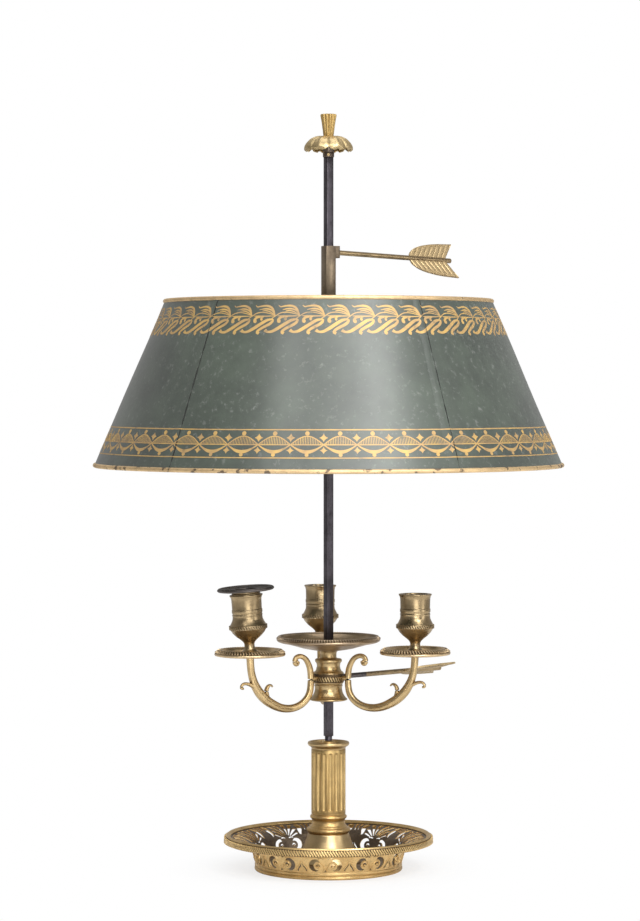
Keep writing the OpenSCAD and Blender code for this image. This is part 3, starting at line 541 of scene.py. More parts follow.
# ---- Rim of the dish ----
# A brass rim is rolled over the edge of the flare, with a bright bead inside and a rope of slanted
# strokes cut round its face.
rim_r, rim_top = extent("gallery_rim")[::2]
edge_r = wall_top[0] + flare_w
edge_z = wall_top[1] + flare_h
rim = turn_on_lathe("dish_rim", [
    (edge_r - 3, edge_z + wall_t), (edge_r - 0.2, edge_z + wall_t), (edge_r, edge_z - 2.7),
    (edge_r + 0.5, edge_z - 3.9), (rim_r - 0.7, edge_z - 3.4), (rim_r - 0.4, edge_z - 1.6),
    (rim_r - 0.6, edge_z + 0.8), (rim_r - 1.6, edge_z + 2.6), (edge_r, rim_top),
    (edge_r - 1.2, rim_top - 0.2), (edge_r - 1.8, rim_top - 1.1), (edge_r - 3.0, edge_z + wall_t + 0.9)],
                    steps=240)


def repeat_round(count):
    """Copy the open mesh round the lamp's axis, count times in all."""
    bpy.ops.mesh.spin(steps=count - 1, dupli=True, angle=2 * pi * (count - 1) / count, center=(0, 0, 0),
                      axis=(0, 0, 1))


def stroke_ring(name, count, at, size, tilt, lean=0):
    """A ring of the soft strokes of a cut band. Each is a cube pulled to a lozenge, and the first is on X."""
    ring = add_mesh(bpy.ops.mesh.primitive_cube_add, name, size=1, location=(at[0] * mm, 0, at[1] * mm),
                    rotation=(radians(tilt), radians(lean), 0))
    ring.scale = [side * mm for side in size]
    open_mesh("SELECT")
    bpy.ops.mesh.bevel(offset=0.3 * min(size) * mm, segments=1, affect="EDGES")
    close_mesh()
    settle()
    open_mesh("SELECT")
    repeat_round(count)
    close_mesh()
    smooth(60)
    return ring


def darken_band(piece, low, high, r_low):
    """Mark the faces that lie under a ring of strokes, beyond radius r_low and between two heights."""
    mark_faces(piece, lambda face: low < face.center.z / mm < high
               and hypot(face.center.x, face.center.y) / mm > r_low)


groove_brown = aged_metal("groove_brown_brass", (0.16, 0.11, 0.06), (0.09, 0.06, 0.035), (0.03, 0.02, 0.015),
                          rough=(0.5, 0.7))
rope = stroke_ring("dish_rim_rope", 236, (rim_r - 0.25, edge_z - 0.6), (1.3, 1.3, 5.4), 36, -4)
darken_band(rim, edge_z - 3.3, edge_z + 2.0, rim_r - 1.4)
dress(rim, base_brass, "root", "base_brass", "gallery_rim", groove=groove_brown)
dress(rope, base_brass, "root", "base_brass")

# ---- Column foot and its rings ----
# A hollow brass cone, turned and lacquered, stands on the floor of the dish. A half-round ring with a
# flare over it, and a smaller ring, are threaded on the rod above it.
column_brass = aged_metal("column_turned_brass", (0.62, 0.46, 0.24), (0.47, 0.34, 0.17),
                          rough=(0.3, 0.44), speckle=0.12, ring_marks=0.5)
column_gold = aged_metal("column_gilt_brass", (0.69, 0.47, 0.20), (0.50, 0.34, 0.15),
                         rough=(0.3, 0.44), speckle=0.2, ring_marks=0.2)
shank_hole = 3.15
cone_r, cone_z, cone_top = extent("column_foot")
neck_r = 17.8
cone = turn_on_lathe("column_cone", [
    (cone_r, cone_z), (cone_r, cone_z + 1.3), (cone_r - 1, cone_z + 2.2), (25.2, cone_z + 6.2),
    (22.5, cone_z + 12.2), (19.6, cone_z + 19.2), (neck_r, cone_top - 1), (neck_r - 0.3, cone_top),
    (shank_hole, cone_top), (shank_hole, cone_top - 3), (15.8, cone_top - 3), (20.5, cone_z + 12),
    (cone_r - 3, cone_z + 2), (cone_r - 3, cone_z)], soften=1.0)
ring_r, ring_z, ring_top = extent("base_ring")
column_r, shaft_z, shaft_top = extent("fluted_shaft")
base_ring = turn_on_lathe("column_base_ring", [
    (shank_hole, ring_z), (neck_r - 0.8, ring_z), (neck_r - 0.4, ring_z + 0.5)]
    + arc_points((ring_r - 2.5, ring_z + 2.7), 2.5, -65, 65, 8)
    + [(ring_r - 2.6, ring_z + 5.1), (ring_r - 2.8, ring_z + 5.7), (column_r + 0.8, ring_z + 6.3),
       (column_r - 0.2, ring_z + 7.4), (column_r - 0.6, ring_top), (shank_hole, ring_top)], soften=0.12)
upper_r, upper_z, upper_top = extent("shaft_ring")
upper_mid = upper_z + 5.1
upper_ring = turn_on_lathe("column_upper_ring", [
    (shank_hole, upper_z), (column_r - 0.6, upper_z), (column_r - 0.9, upper_z + 1.2),
    (column_r - 0.5, upper_z + 2.7)]
    + arc_points((upper_r - 1.6, upper_mid), 1.6, -65, 65, 8)
    + [(column_r - 0.4, upper_mid + 1.9), (column_r - 0.1, upper_top - 0.8), (column_r, upper_top),
       (shank_hole, upper_top)], soften=0.12)
dress(cone, column_brass, "root", "column_brass", "column_foot")
dress(base_ring, column_gold, "root", "column_brass", "base_ring")
dress(upper_ring, column_gold, "root", "column_brass", "shaft_ring")

# ---- Fluted shaft ----
# A turned brass tube with eighteen flutes that end round at the top and the bottom, cut with a
# round-nosed tool.
flutes = 18
flute_r = 2.1
flute_d = 1.05
first_flute = 83.4
tube_r = 10
shaft = turn_on_lathe("fluted_shaft_tube", [
    (tube_r, shaft_z), (column_r, shaft_z), (column_r, shaft_top), (tube_r, shaft_top)], soften=0.2,
                      steps=216)
flute_low = shaft_z + 2.4
flute_high = shaft_top - 2.4
tool = add_mesh(bpy.ops.mesh.primitive_cylinder_add, vertices=24, radius=flute_r * mm,
                depth=(flute_high - flute_low) * mm, location=(0, 0, (flute_high + flute_low) / 2 * mm))
settle()
open_mesh("DESELECT", "EDGE")
close_mesh()
for edge in tool.data.edges:
    a, b = (tool.data.vertices[i].co for i in edge.vertices)
    edge.select = abs(a.z - b.z) < 0.001 * mm
open_mesh()
bpy.ops.mesh.bevel(offset=0.8 * flute_r * mm, segments=5, affect="EDGES")
bpy.ops.mesh.select_all(action="SELECT")
bpy.ops.mesh.remove_doubles(threshold=0.001 * mm)
bpy.ops.mesh.normals_make_consistent(inside=False)
bpy.ops.transform.translate(value=((column_r + flute_r - flute_d) * mm, 0, 0))
bpy.ops.transform.rotate(value=radians(first_flute), orient_axis="Z", center_override=(0, 0, 0))
repeat_round(flutes)
close_mesh()
modify(shaft, "BOOLEAN", solver="EXACT", object=tool)
bpy.data.objects.remove(tool)
smooth(30)
flute_brass = aged_metal("flute_gilt_brass", (0.60, 0.42, 0.18), (0.46, 0.32, 0.135),
                         rough=(0.3, 0.42), crevice=1.3, speckle=0.15)
dress(shaft, flute_brass, "root", "column_brass", "fluted_shaft")

# ---- Lip and boss ----
# The column ends in a turned lip round a shallow well. A domed boss in the well closes the gap round
# the rod.
lip_r, lip_z, lip_top = extent("column_lip")
well_z = lip_top - 3
lip = turn_on_lathe("column_lip_turned", [
    (shank_hole, lip_z), (column_r - 0.2, lip_z), (column_r, lip_z + 1.3), (column_r + 0.7, lip_z + 2.0),
    (lip_r - 1.4, lip_z + 2.6), (lip_r - 0.3, lip_z + 3.6), (lip_r, lip_z + 4.7),
    (lip_r - 0.3, lip_top - 0.5), (lip_r - 1.2, lip_top), (lip_r - 2.2, lip_top - 0.5), (lip_r - 2.8, well_z),
    (shank_hole, well_z)], soften=0.4)
boss_r = extent("column_boss")[0]
boss = turn_on_lathe("column_boss_domed", [
    (shank_hole, well_z), (boss_r, well_z), (boss_r, well_z + 1.5), (boss_r - 0.7, well_z + 2.8),
    (boss_r - 1.8, well_z + 3.6), (shank_hole, well_z + 3.9)], soften=0.5, steps=96)
dress(lip, column_brass, "root", "column_brass", "column_lip")
dress(boss, column_gold, "root", "column_brass", "column_boss")

# ---- Rod ----
# A square bar of dark, polished steel that every sliding piece runs on, turned down round below where
# it passes through the column and above where the finial sits.
rod_side = 6.4
rod_az = 30
arris = 0.35
rod_foot, rod_end = extent("rod")[1:]
square_z = lip_top + 4.5
square_top = extent("finial_collar")[1]
rod = add_mesh(bpy.ops.mesh.primitive_cube_add, "square_rod", size=rod_side * mm,
               rotation=(0, 0, radians(rod_az)))
rod.scale.z = (square_top - square_z) / rod_side
rod.location.z = (square_top + square_z) / 2 * mm
settle()
open_mesh("SELECT")
bpy.ops.mesh.bevel(offset=arris * mm, segments=2, affect="EDGES")
close_mesh()
rounds = []
for r, low, high in [(3.1, rod_foot, square_z + 1), (2.6, square_top - 1, rod_end)]:
    bpy.ops.mesh.primitive_cylinder_add(vertices=48, radius=r * mm, depth=(high - low) * mm,
                                        location=(0, 0, (high + low) / 2 * mm))
    rounds.append(bpy.context.object)
    open_mesh()
    bpy.ops.mesh.bevel(offset=0.3 * mm, segments=2, affect="EDGES")
    close_mesh()
join(rod, *rounds)
settle()
smooth(40)
rod_steel = aged_metal("rod_dark_steel", (0.105, 0.095, 0.108), (0.06, 0.054, 0.06), (0.02, 0.017, 0.017),
                       rough=(0.3, 0.5), speckle=0.45)
dress(rod, rod_steel, "root", "rod_steel", "rod")

# ---- Finial collar and its screw ----
# A collar turned from brass, gone dark, carries the finial on the end of the rod. A small bright set
# screw at the front pins it.
collar_brass = aged_metal("collar_dark_brass", (0.24, 0.19, 0.14), (0.13, 0.10, 0.08), (0.04, 0.03, 0.025),
                          rough=(0.35, 0.5), speckle=0.4, ring_marks=0.3)
screw_brass = aged_metal("screw_bright_brass", (0.66, 0.50, 0.26), (0.42, 0.3, 0.15),
                         rough=(0.25, 0.4))
collar_low, collar_high = extent("finial_collar")[1:]
collar = turn_on_lathe("finial_collar_turned", [
    (2.65, collar_low), (4.8, collar_low), (4.9, collar_low + 3.6), (4.6, collar_low + 4.0),
    (4.7, collar_low + 4.4), (5.2, collar_high - 1.4), (5.2, collar_high), (2.65, collar_high)], soften=0.3,
                       steps=72)
dress(collar, collar_brass, "root", "canopy_brass", "finial_collar")
colour_solid("collar_screw", screw_brass)

# ---- Leaf canopy ----
# A cast brass crown of eight ribbed leaves droops round the collar. The tips and ribs are rubbed to pale
# gold and the hollows between the leaves are dark.
leaves = 8
seat_z = collar_high
leaf_r, leaf_tip = extent("leaf_canopy")[:2]
leaf_line = [(4.2, seat_z + 6.6), (8.0, seat_z + 6.5), (12.0, seat_z + 5.6), (16.2, seat_z + 3.6),
             (19.2, seat_z + 0.8), (leaf_r - 0.6, seat_z - 1.6), (leaf_r - 0.1, leaf_tip + 3.4),
             (leaf_r - 1.4, leaf_tip + 2.2)]
leaf_widths = [1.9, 3.4, 5.6, 7.6, 8.8, 8.4, 6.4, 2.4]


def between(values, t):
    """The number or the point at t from 0 to 1 along a list, on straight lines from one to the next."""
    place = min(max(t, 0), 0.9999) * (len(values) - 1)
    i = int(place)
    k = place - i
    if isinstance(values[0], tuple):
        return tuple(a + (b - a) * k for a, b in zip(values[i], values[i + 1]))
    return values[i] + (values[i + 1] - values[i]) * k


leaf = add_mesh(bpy.ops.mesh.primitive_grid_add, x_subdivisions=26, y_subdivisions=22, size=2)
for vertex in leaf.data.vertices:
    t = (vertex.co.x + 1) / 2
    across = vertex.co.y
    r, z = between(leaf_line, t)
    lobes = 1 - 0.10 * abs(sin(4.5 * pi * t)) * (1 if t > 0.3 else t / 0.3)
    half = between(leaf_widths, t) * lobes
    ribs = 0.6 * cos(across * 3 * pi) * sin(pi * min(t * 1.1, 1)) + 0.3 * (1 - abs(across)) * sin(pi * t)
    sag = 1.5 * across * across * min(t * 2, 1)
    turn = across * half / max(r, 4)
    vertex.co = ((r - sag * 0.5) * cos(turn) * mm, (r - sag * 0.5) * sin(turn) * mm,
                 (z + ribs * 0.55 - sag) * mm)
modify(leaf, "SOLIDIFY", thickness=1.1 * mm, offset=0)
open_mesh("SELECT")
bpy.ops.mesh.normals_make_consistent(inside=False)
bpy.ops.transform.rotate(value=radians(90 + 180 / leaves), orient_axis="Z", center_override=(0, 0, 0))
repeat_round(leaves)
close_mesh()
crown = turn_on_lathe("canopy_core", [
    (2.65, seat_z), (6.2, seat_z), (10.4, seat_z + 2.6), (12.6, seat_z + 4.2), (8.0, seat_z + 6.6),
    (4.6, seat_z + 7), (2.65, seat_z + 7)], soften=0.5, steps=96)
join(crown, leaf)
crown.name = "leaf_crown"
smooth(50)
leaf_brass = aged_metal("leaf_rubbed_brass", (0.62, 0.48, 0.26), (0.48, 0.37, 0.19), (0.07, 0.05, 0.035),
                        rough=(0.4, 0.52), crevice=1.2, speckle=0.05, pitted=0.05)
dress(crown, leaf_brass, "root", "canopy_brass", "leaf_canopy")

# ---- Torch ----
# The finial is a small cast torch, widening to the top, with twelve reeds and a scalloped end, in matte
# pale gold.
torch_z = extent("finial_torch")[1]
torch_reeds = 12
torch_line = [(4.1, 0), (4.6, 1.0), (5.1, 5.0), (5.7, 9.5), (6.4, 14), (7.15, 17.6), (7.05, 18.5),
              (6.0, 19.0), (3.0, 18.3)]
torch = add_mesh(bpy.ops.mesh.primitive_circle_add, "reeded_torch", vertices=torch_reeds * 8,
                 radius=torch_line[0][0] * mm, location=(0, 0, torch_z * mm), fill_type="NGON")
open_mesh("SELECT")
for start, end in zip(torch_line, torch_line[1:]):
    bpy.ops.mesh.extrude_region_move(TRANSFORM_OT_translate={"value": (0, 0, (end[1] - start[1]) * mm)})
    grow = end[0] / start[0]
    bpy.ops.transform.resize(value=(grow, grow, 1), center_override=(0, 0, (torch_z + end[1]) * mm))
seal()
settle()
for vertex in torch.data.vertices:
    up = vertex.co.z / mm - torch_z
    turn = atan2(vertex.co.y, vertex.co.x)
    deep = (0.3 + 0.75 * min(up / 14, 1)) * (1 if up > 0.5 else 0)
    r = hypot(vertex.co.x, vertex.co.y) / mm
    push = 1 - deep * (1 - abs(cos(turn * torch_reeds / 2 + pi / 2))) / max(r, 3)
    vertex.co.x *= push
    vertex.co.y *= push
smooth(42)
torch_gilt = aged_metal("torch_matte_gilt", (0.52, 0.37, 0.15), (0.46, 0.325, 0.13), (0.24, 0.16, 0.07),
                        rough=(0.6, 0.7), crevice=0.25, speckle=0.0, pitted=0.02)
dress(torch, torch_gilt, "root", "torch_gilt", "finial_torch")

# ---- Hub and cap ----
# The cluster's hub is turned brass with a waist, a band that takes the arms and the key, and slanted
# strokes cut all round the band. A cap and a neck on it carry the centre pan.
hub_r, hub_z, hub_top = extent("cluster_hub")
pan_z = extent("hub_cap")[2]
band_r = 13.2
band_z = hub_z + 19.8
rod_hole = 4.7
cluster_gold = aged_metal("cluster_turned_brass", (0.57, 0.42, 0.21), (0.40, 0.29, 0.15),
                          rough=(0.26, 0.4), speckle=0.15, ring_marks=0.35)
hub = turn_on_lathe("cluster_hub_turned", [
    (rod_hole, hub_z), (hub_r - 1.8, hub_z), (hub_r, hub_z + 0.6), (hub_r, hub_z + 1.6),
    (hub_r - 1.2, hub_z + 2.5), (hub_r - 2.6, hub_z + 4.3), (hub_r - 4.0, hub_z + 7),
    (hub_r - 4.6, hub_z + 10), (hub_r - 4.4, hub_z + 12.4), (hub_r - 3.8, hub_z + 13.2),
    (hub_r - 4.6, hub_z + 13.9), (band_r - 0.5, band_z - 4.9), (band_r, band_z - 4.2), (band_r, band_z + 4.2),
    (band_r - 0.5, band_z + 4.8), (band_r - 2.0, band_z + 5.8), (band_r - 2.8, hub_z + 27.3),
    (band_r - 3.3, hub_z + 29.6), (band_r - 2.9, hub_top - 1), (band_r - 2.2, hub_top), (rod_hole, hub_top)],
                    soften=0.45, steps=120)
cap = turn_on_lathe("cluster_cap_turned", [
    (rod_hole, hub_top), (band_r - 2.3, hub_top), (band_r - 1.6, hub_top + 0.7),
    (band_r - 1.6, hub_top + 2.4), (band_r - 2.4, hub_top + 3.1), (7.6, hub_top + 3.4), (6.9, hub_top + 4.2),
    (6.9, pan_z - 2.6), (7.3, pan_z - 1.0), (8.3, pan_z), (rod_hole, pan_z)], soften=0.4, steps=120)
key_az = 37
key_rise = 0.7
key_r = 2.15
key_clearance = 0.08


def key_drill(at, depth):
    """A drill for a key's bore, that runs out along X from the rod, set in its place."""
    drill = add_mesh(bpy.ops.mesh.primitive_cylinder_add, vertices=40, radius=(key_r + key_clearance) * mm,
                     depth=depth * mm)
    drill.data.transform(at @ Matrix.Translation((10 * mm, 0, 0)) @ Matrix.Rotation(radians(90), 4, "Y"))
    return drill


turn_key = Matrix.Rotation(radians(key_az), 4, "Z") @ Matrix.Rotation(radians(-key_rise), 4, "Y")
cluster_key_at = Matrix.Translation((0, 0, band_z * mm)) @ turn_key
drill = key_drill(cluster_key_at, 14)
modify(hub, "BOOLEAN", solver="EXACT", object=drill)
bpy.data.objects.remove(drill)
smooth(38)
darken_band(hub, band_z - 3.6, band_z + 2.4, band_r - 0.1)
hub_strokes = stroke_ring("cluster_hub_strokes", 36, (band_r, band_z - 0.8), (1.1, 1.1, 4.2), 28)
dress(hub, cluster_gold, "cluster", "cluster_brass", "cluster_hub", groove=groove_brown)
dress(cap, cluster_gold, "cluster", "cluster_brass", "hub_cap")
dress(hub_strokes, cluster_gold, "cluster", "cluster_brass")

# ---- Centre pan ----
# A shallow spun brass dish round the rod, browned inside by wax and smoke. Its edge slopes in and is
# nicked all round.
centre_r, centre_top = extent("centre_pan")[::2]
pan_brass = aged_metal("pan_browned_brass", (0.56, 0.42, 0.27), (0.34, 0.26, 0.18),
                       rough=(0.26, 0.46), speckle=0.35, ring_marks=0.35)
centre_pan = turn_on_lathe("centre_pan_spun", [
    (rod_hole, pan_z), (9, pan_z), (15, pan_z + 0.9), (22, pan_z + 2.2), (29, pan_z + 4.2),
    (35.5, pan_z + 6.0), (centre_r - 3.4, centre_top - 5.6), (centre_r - 0.9, centre_top - 4.6),
    (centre_r, centre_top - 3.2), (centre_r - 0.5, centre_top - 2.1), (centre_r - 2.4, centre_top - 0.3),
    (centre_r - 3.2, centre_top), (centre_r - 3.8, centre_top - 0.5), (centre_r - 4.2, centre_top - 1.8),
    (35, pan_z + 7.7), (28.6, pan_z + 5.8), (21.6, pan_z + 3.7), (14, pan_z + 2.4), (9, pan_z + 1.6),
    (rod_hole, pan_z + 1.6)], soften=0.4, steps=200)
darken_band(centre_pan, centre_top - 2.4, centre_top - 0.4, centre_r - 3.0)
centre_nicks = stroke_ring("centre_pan_nicks", 118, (centre_r - 1.2, centre_top - 1.3), (1.0, 1.3, 2.8),
                           8, -46)
dress(centre_pan, pan_brass, "cluster", "cluster_brass", "centre_pan", groove=groove_brown)
dress(centre_nicks, pan_brass, "cluster", "cluster_brass")

# ---- Arms ----
# Three cast brass arms. Each rises from a leaf-wrapped bowl to its candle pan, and on the other side
# runs up the hub and rolls over into a volute with a small eye. A peg holds it in the hub.
arm_reach = 81.3
arm_sides = {"left": 215, "right": -25, "back": 95}
arm_line = [(81.3, 43.6, 1.0), (80.9, 34.6, 0.98), (79.7, 26.6, 0.98), (77.1, 18.6, 1.12), (72.1, 10.6, 1.3),
            (65.3, 4.1, 1.34), (57.9, -0.3, 1.3), (50.5, -3.5, 1.18), (42.3, -4.9, 1.1), (33.9, -4.1, 1.03),
            (26.5, -0.9, 0.97), (21.5, 3.9, 0.93), (19.0, 9.5, 0.9), (18.3, 19.8, 0.87), (19.1, 27.4, 0.83),
            (20.8, 32.2, 0.78), (23.6, 36.8, 0.74), (27.3, 39.2, 0.71), (31.3, 39.8, 0.68),
            (34.5, 38.2, 0.67), (35.6, 35.0, 0.64), (34.4, 32.4, 0.56), (32.0, 32.9, 0.5), (31.6, 35.2, 0.42)]
arm_gold = aged_metal("arm_cast_brass", (0.68, 0.50, 0.26), (0.48, 0.345, 0.17),
                      rough=(0.26, 0.42), crevice=1.4, speckle=0.15)


def sweep(name, points, half_w, half_t, corner=0.45, order=3):
    """Draw a bar of rounded section along (reach, height, girth) points that stand on the XZ plane."""
    outline = add_mesh(bpy.ops.mesh.primitive_circle_add, vertices=20, radius=mm)
    for vertex in outline.data.vertices:
        x, y = vertex.co.x / mm, vertex.co.y / mm
        square = max(abs(x), abs(y)) ** corner
        vertex.co = (x / square * half_t * mm, y / square * half_w * mm, 0)
    bpy.ops.object.convert(target="CURVE")
    outline = bpy.context.object
    bpy.ops.curve.primitive_nurbs_path_add()
    bar = bpy.context.object
    bar.name = name
    bar.data.splines.clear()
    line = bar.data.splines.new("NURBS")
    line.points.add(len(points) - 1)
    line.order_u = order
    line.use_endpoint_u = True
    line.resolution_u = 6
    for node, (x, z, girth) in zip(line.points, points):
        node.co = (x * mm, 0, z * mm, 1)
        node.radius = girth
    bar.data.dimensions = "3D"
    bar.data.twist_mode = "Z_UP"
    bar.data.bevel_mode = "OBJECT"
    bar.data.bevel_object = outline
    bar.data.use_fill_caps = True
    alone(bar)
    bpy.ops.object.convert(target="MESH")
    bpy.data.objects.remove(outline)
    bar = bpy.context.object
    open_mesh(by="VERT")
    seal(0.01)
    return bar


def set_at(piece, angle, reach=0, z=0):
    """Turn a piece that stands on the X axis to its angle round the rod, and apply its place."""
    alone(piece)
    piece.rotation_euler = (0, 0, radians(angle))
    piece.location = (reach * cos(radians(angle)) * mm, reach * sin(radians(angle)) * mm, z * mm)
    settle()


def copy_of(piece, name):
    """A copy of a piece, under a name of its own."""
    alone(piece)
    bpy.ops.object.duplicate()
    twin = bpy.context.object
    twin.name = name
    return twin


arm = sweep("arm", arm_line, 3.0, 2.8)
eye_ball = add_mesh(bpy.ops.mesh.primitive_uv_sphere_add, segments=20, ring_count=12, radius=1.6 * mm,
                    location=(33.2 * mm, 0, 35.0 * mm))
eye_ball.scale.y = 1.5
outer_tip = sweep("outer_tip", [(72.3, 12.6, 1.15), (78.1, 16.6, 1.1), (83.7, 19.0, 0.9), (88.0, 19.2, 0.7),
                                (90.4, 17.0, 0.6), (89.8, 14.9, 0.7), (88.2, 15.2, 0.6)], 1.6, 2.3)
inner_tip = sweep("inner_tip", [(62.7, 3.1, 1.15), (64.7, 8.7, 1.1), (64.6, 13.6, 0.95), (62.0, 16.6, 0.75),
                                (59.2, 16.4, 0.5), (58.4, 14.8, 0.35)], 1.6, 2.2)
peg = sweep("peg", [(8.4, 19.8, 1), (12.0, 19.8, 1), (18.0, 19.8, 1)], 2, 2, corner=0, order=2)
veins = []
vein_rows = 17
vein_out = 3.2
bowl_line = [(x, z) for x, z, girth in arm_line[3:9]]
for k in range(vein_rows):
    t = k / (vein_rows - 1)
    along = between(bowl_line, t)
    for side in (-1, 1):
        vein = add_mesh(bpy.ops.mesh.primitive_uv_sphere_add, segments=10, ring_count=6, radius=mm,
                        location=(along[0] * mm, side * vein_out * mm, along[1] * mm),
                        rotation=(0, radians(28 + 62 * t), 0))
        vein.scale = (0.6, 0.8, 3.6)
        veins.append(vein)
join(arm, eye_ball, outer_tip, inner_tip, peg, *veins)
smooth(46)
settle()
for side, angle in arm_sides.items():
    placed = copy_of(arm, "arm_" + side + "_cast")
    set_at(placed, angle, 0, hub_z)
    dress(placed, arm_gold, "cluster", "cluster_brass", "arm_" + side)
bpy.data.objects.remove(arm)

# ---- Candle pans and their studs ----
# A turned brass saucer sits on the end of each arm, with a ring of strokes cut on its sloping edge. A
# steel stud through it holds the cup.
saucer_low, saucer_top = extent("candle_pan_right")[1:]
saucer_z = saucer_low + 1.2
saucer_r = 30.2
floor_z = saucer_z + 1.4
saucer = turn_on_lathe("saucer", [
    (1.6, saucer_z), (20, saucer_z), (saucer_r - 5.4, saucer_z), (saucer_r - 3, saucer_z - 1.2),
    (saucer_r - 0.5, saucer_z - 0.7), (saucer_r, saucer_z + 0.5), (saucer_r - 0.3, saucer_z + 1.3),
    (saucer_r - 4.4, saucer_top - 0.2), (saucer_r - 5.2, saucer_top), (saucer_r - 5.8, saucer_top - 0.4),
    (saucer_r - 7.0, floor_z + 0.6), (saucer_r - 8.4, floor_z), (9.6, floor_z), (9.2, floor_z + 0.25),
    (8.8, floor_z), (1.6, floor_z)], soften=0.3, steps=160)
darken_band(saucer, saucer_z + 1.6, saucer_top - 0.5, saucer_r - 4.4)
strokes = stroke_ring("saucer_strokes", 72, (saucer_r - 2.1, saucer_z + 2.95), (1.2, 1.2, 3.6), 18, -53)
for side, angle in arm_sides.items():
    spot = (arm_reach * cos(radians(angle)) * mm, arm_reach * sin(radians(angle)) * mm)
    brass = aged_metal("saucer_brass_" + side, (0.80, 0.61, 0.36), (0.54, 0.40, 0.24),
                       rough=(0.3, 0.46), speckle=0.2, ring_marks=0.3, middle=spot)
    placed = copy_of(saucer, "candle_pan_" + side + "_turned")
    set_at(placed, angle, arm_reach)
    dress(placed, brass, "cluster", "cluster_brass", "candle_pan_" + side, groove=groove_brown)
    placed = copy_of(strokes, "candle_pan_" + side + "_strokes")
    set_at(placed, angle, arm_reach)
    dress(placed, brass, "cluster", "cluster_brass")
    colour_solid("cup_stud_" + side, fixing_steel)
bpy.data.objects.remove(saucer)
bpy.data.objects.remove(strokes)

# ---- Candle cups ----
# Vase-shaped candle cups turned from brass: a foot, a polished stem, a bulge with a band of slanted
# strokes, and a barrel with a raised ring. The left cup has worked loose and leans over its foot.
cup_r = 15.7
cup_h = 49.4
bore_r = 11
bore_floor = cup_h - 31
cup = turn_on_lathe("cup", [
    (1.9, 0), (7.4, 0), (7.4, 0.8), (6.2, 1.5), (5.1, 3), (4.3, 5.4), (4.3, 7.4), (5.1, 9.2), (7.2, 11.2),
    (10.7, 13.9), (13.4, 16.8), (15.1, 19.6), (cup_r, 20.4), (cup_r, 23.3), (cup_r - 0.7, 24.2), (13.9, 26.2),
    (12.9, 28.4), (12.6, 31.2), (12.9, 31.7), (12.9, 32.3), (12.6, 32.8), (12.6, 33.7), (13.0, 34.1),
    (13.0, 36.6), (12.6, 37.0), (12.8, 45.2), (13.2, 47.2), (14.1, 48.5), (14.1, 49.2), (13.7, cup_h),
    (bore_r + 0.4, cup_h), (bore_r, cup_h - 0.5), (bore_r, bore_floor), (1.9, bore_floor)], soften=0.22,
                    steps=128)
darken_band(cup, 20.6, 23.0, cup_r - 0.3)
cup_strokes = stroke_ring("cup_strokes", 46, (cup_r, 21.8), (1.1, 1.05, 3.3), 32)
cup_brass = aged_metal("cup_turned_brass", (0.47, 0.355, 0.20), (0.31, 0.23, 0.13),
                       rough=(0.24, 0.4), speckle=0.15, ring_marks=0.35)
lean = 4.1
lean_az = 200
foot_edge = 7.4
off_lean = radians(lean_az - arm_sides["left"])
lean_over = (Matrix.Rotation(off_lean, 4, "Z") @ Matrix.Translation((foot_edge * mm, 0, 0))
             @ Matrix.Rotation(radians(lean), 4, "Y") @ Matrix.Translation((-foot_edge * mm, 0, 0)))
for side, angle in arm_sides.items():
    for model, name, nodes in [(cup, "_turned", ["candle_cup_" + side]), (cup_strokes, "_strokes", [])]:
        placed = copy_of(model, "candle_cup_" + side + name)
        if side == "left":
            placed.data.transform(lean_over @ Matrix.Rotation(-off_lean, 4, "Z"))
        set_at(placed, angle, arm_reach, floor_z)
        dress(placed, cup_brass, "cluster", "cluster_brass", *nodes, groove=groove_brown if nodes else None)
bpy.data.objects.remove(cup)
bpy.data.objects.remove(cup_strokes)

# ---- Wax dish ----
# A loose wax dish, spun from blackened metal, sits on a turned brass collar that drops into the left cup
# and leans with it.
collar_r = 12.3
collar_h = 2.8
dish_r = 24.3
dish_h = 4.0
spigot = 12
sleeve_in = 9.5
wax_collar = turn_on_lathe("wax_collar", [
    (sleeve_in, -spigot), (bore_r - 0.3, -spigot), (bore_r - 0.3, 0), (collar_r, 0), (collar_r, 0.7),
    (collar_r - 0.5, 1.2), (collar_r, 1.8), (collar_r, collar_h), (sleeve_in, collar_h)], soften=0.15,
                           steps=96)
wax_top = dish_h - 0.6
wax_dish = turn_on_lathe("wax_dish", [
    (sleeve_in, 0), (collar_r + 3.6, 0), (dish_r - 2.6, wax_top - 3.2), (dish_r - 0.9, wax_top - 2.9),
    (dish_r, wax_top - 1.9), (dish_r - 0.2, wax_top - 1.0), (dish_r - 1.2, wax_top - 0.1),
    (dish_r - 2.2, wax_top), (dish_r - 3.2, wax_top - 0.8), (collar_r + 3, 1.4), (sleeve_in + 1.2, 1.4),
    (sleeve_in, 1.9)], soften=0.3, steps=128)
black_metal = aged_metal("wax_dish_black_metal", (0.17, 0.15, 0.14), (0.11, 0.097, 0.09), (0.05, 0.044, 0.04),
                         rough=(0.4, 0.55), speckle=0.2)
for piece, height, material, slot, node in [
    (wax_collar, cup_h, cup_brass, "cluster_brass", "bobeche_collar"),
    (wax_dish, cup_h + collar_h, black_metal, "dark_metal", "bobeche_dish"),
]:
    piece.data.transform(lean_over @ Matrix.Translation((0, 0, height * mm)))
    set_at(piece, arm_sides["left"], arm_reach, floor_z)
    piece.name = node + "_turned"
    dress(piece, material, "bobeche", slot, node)

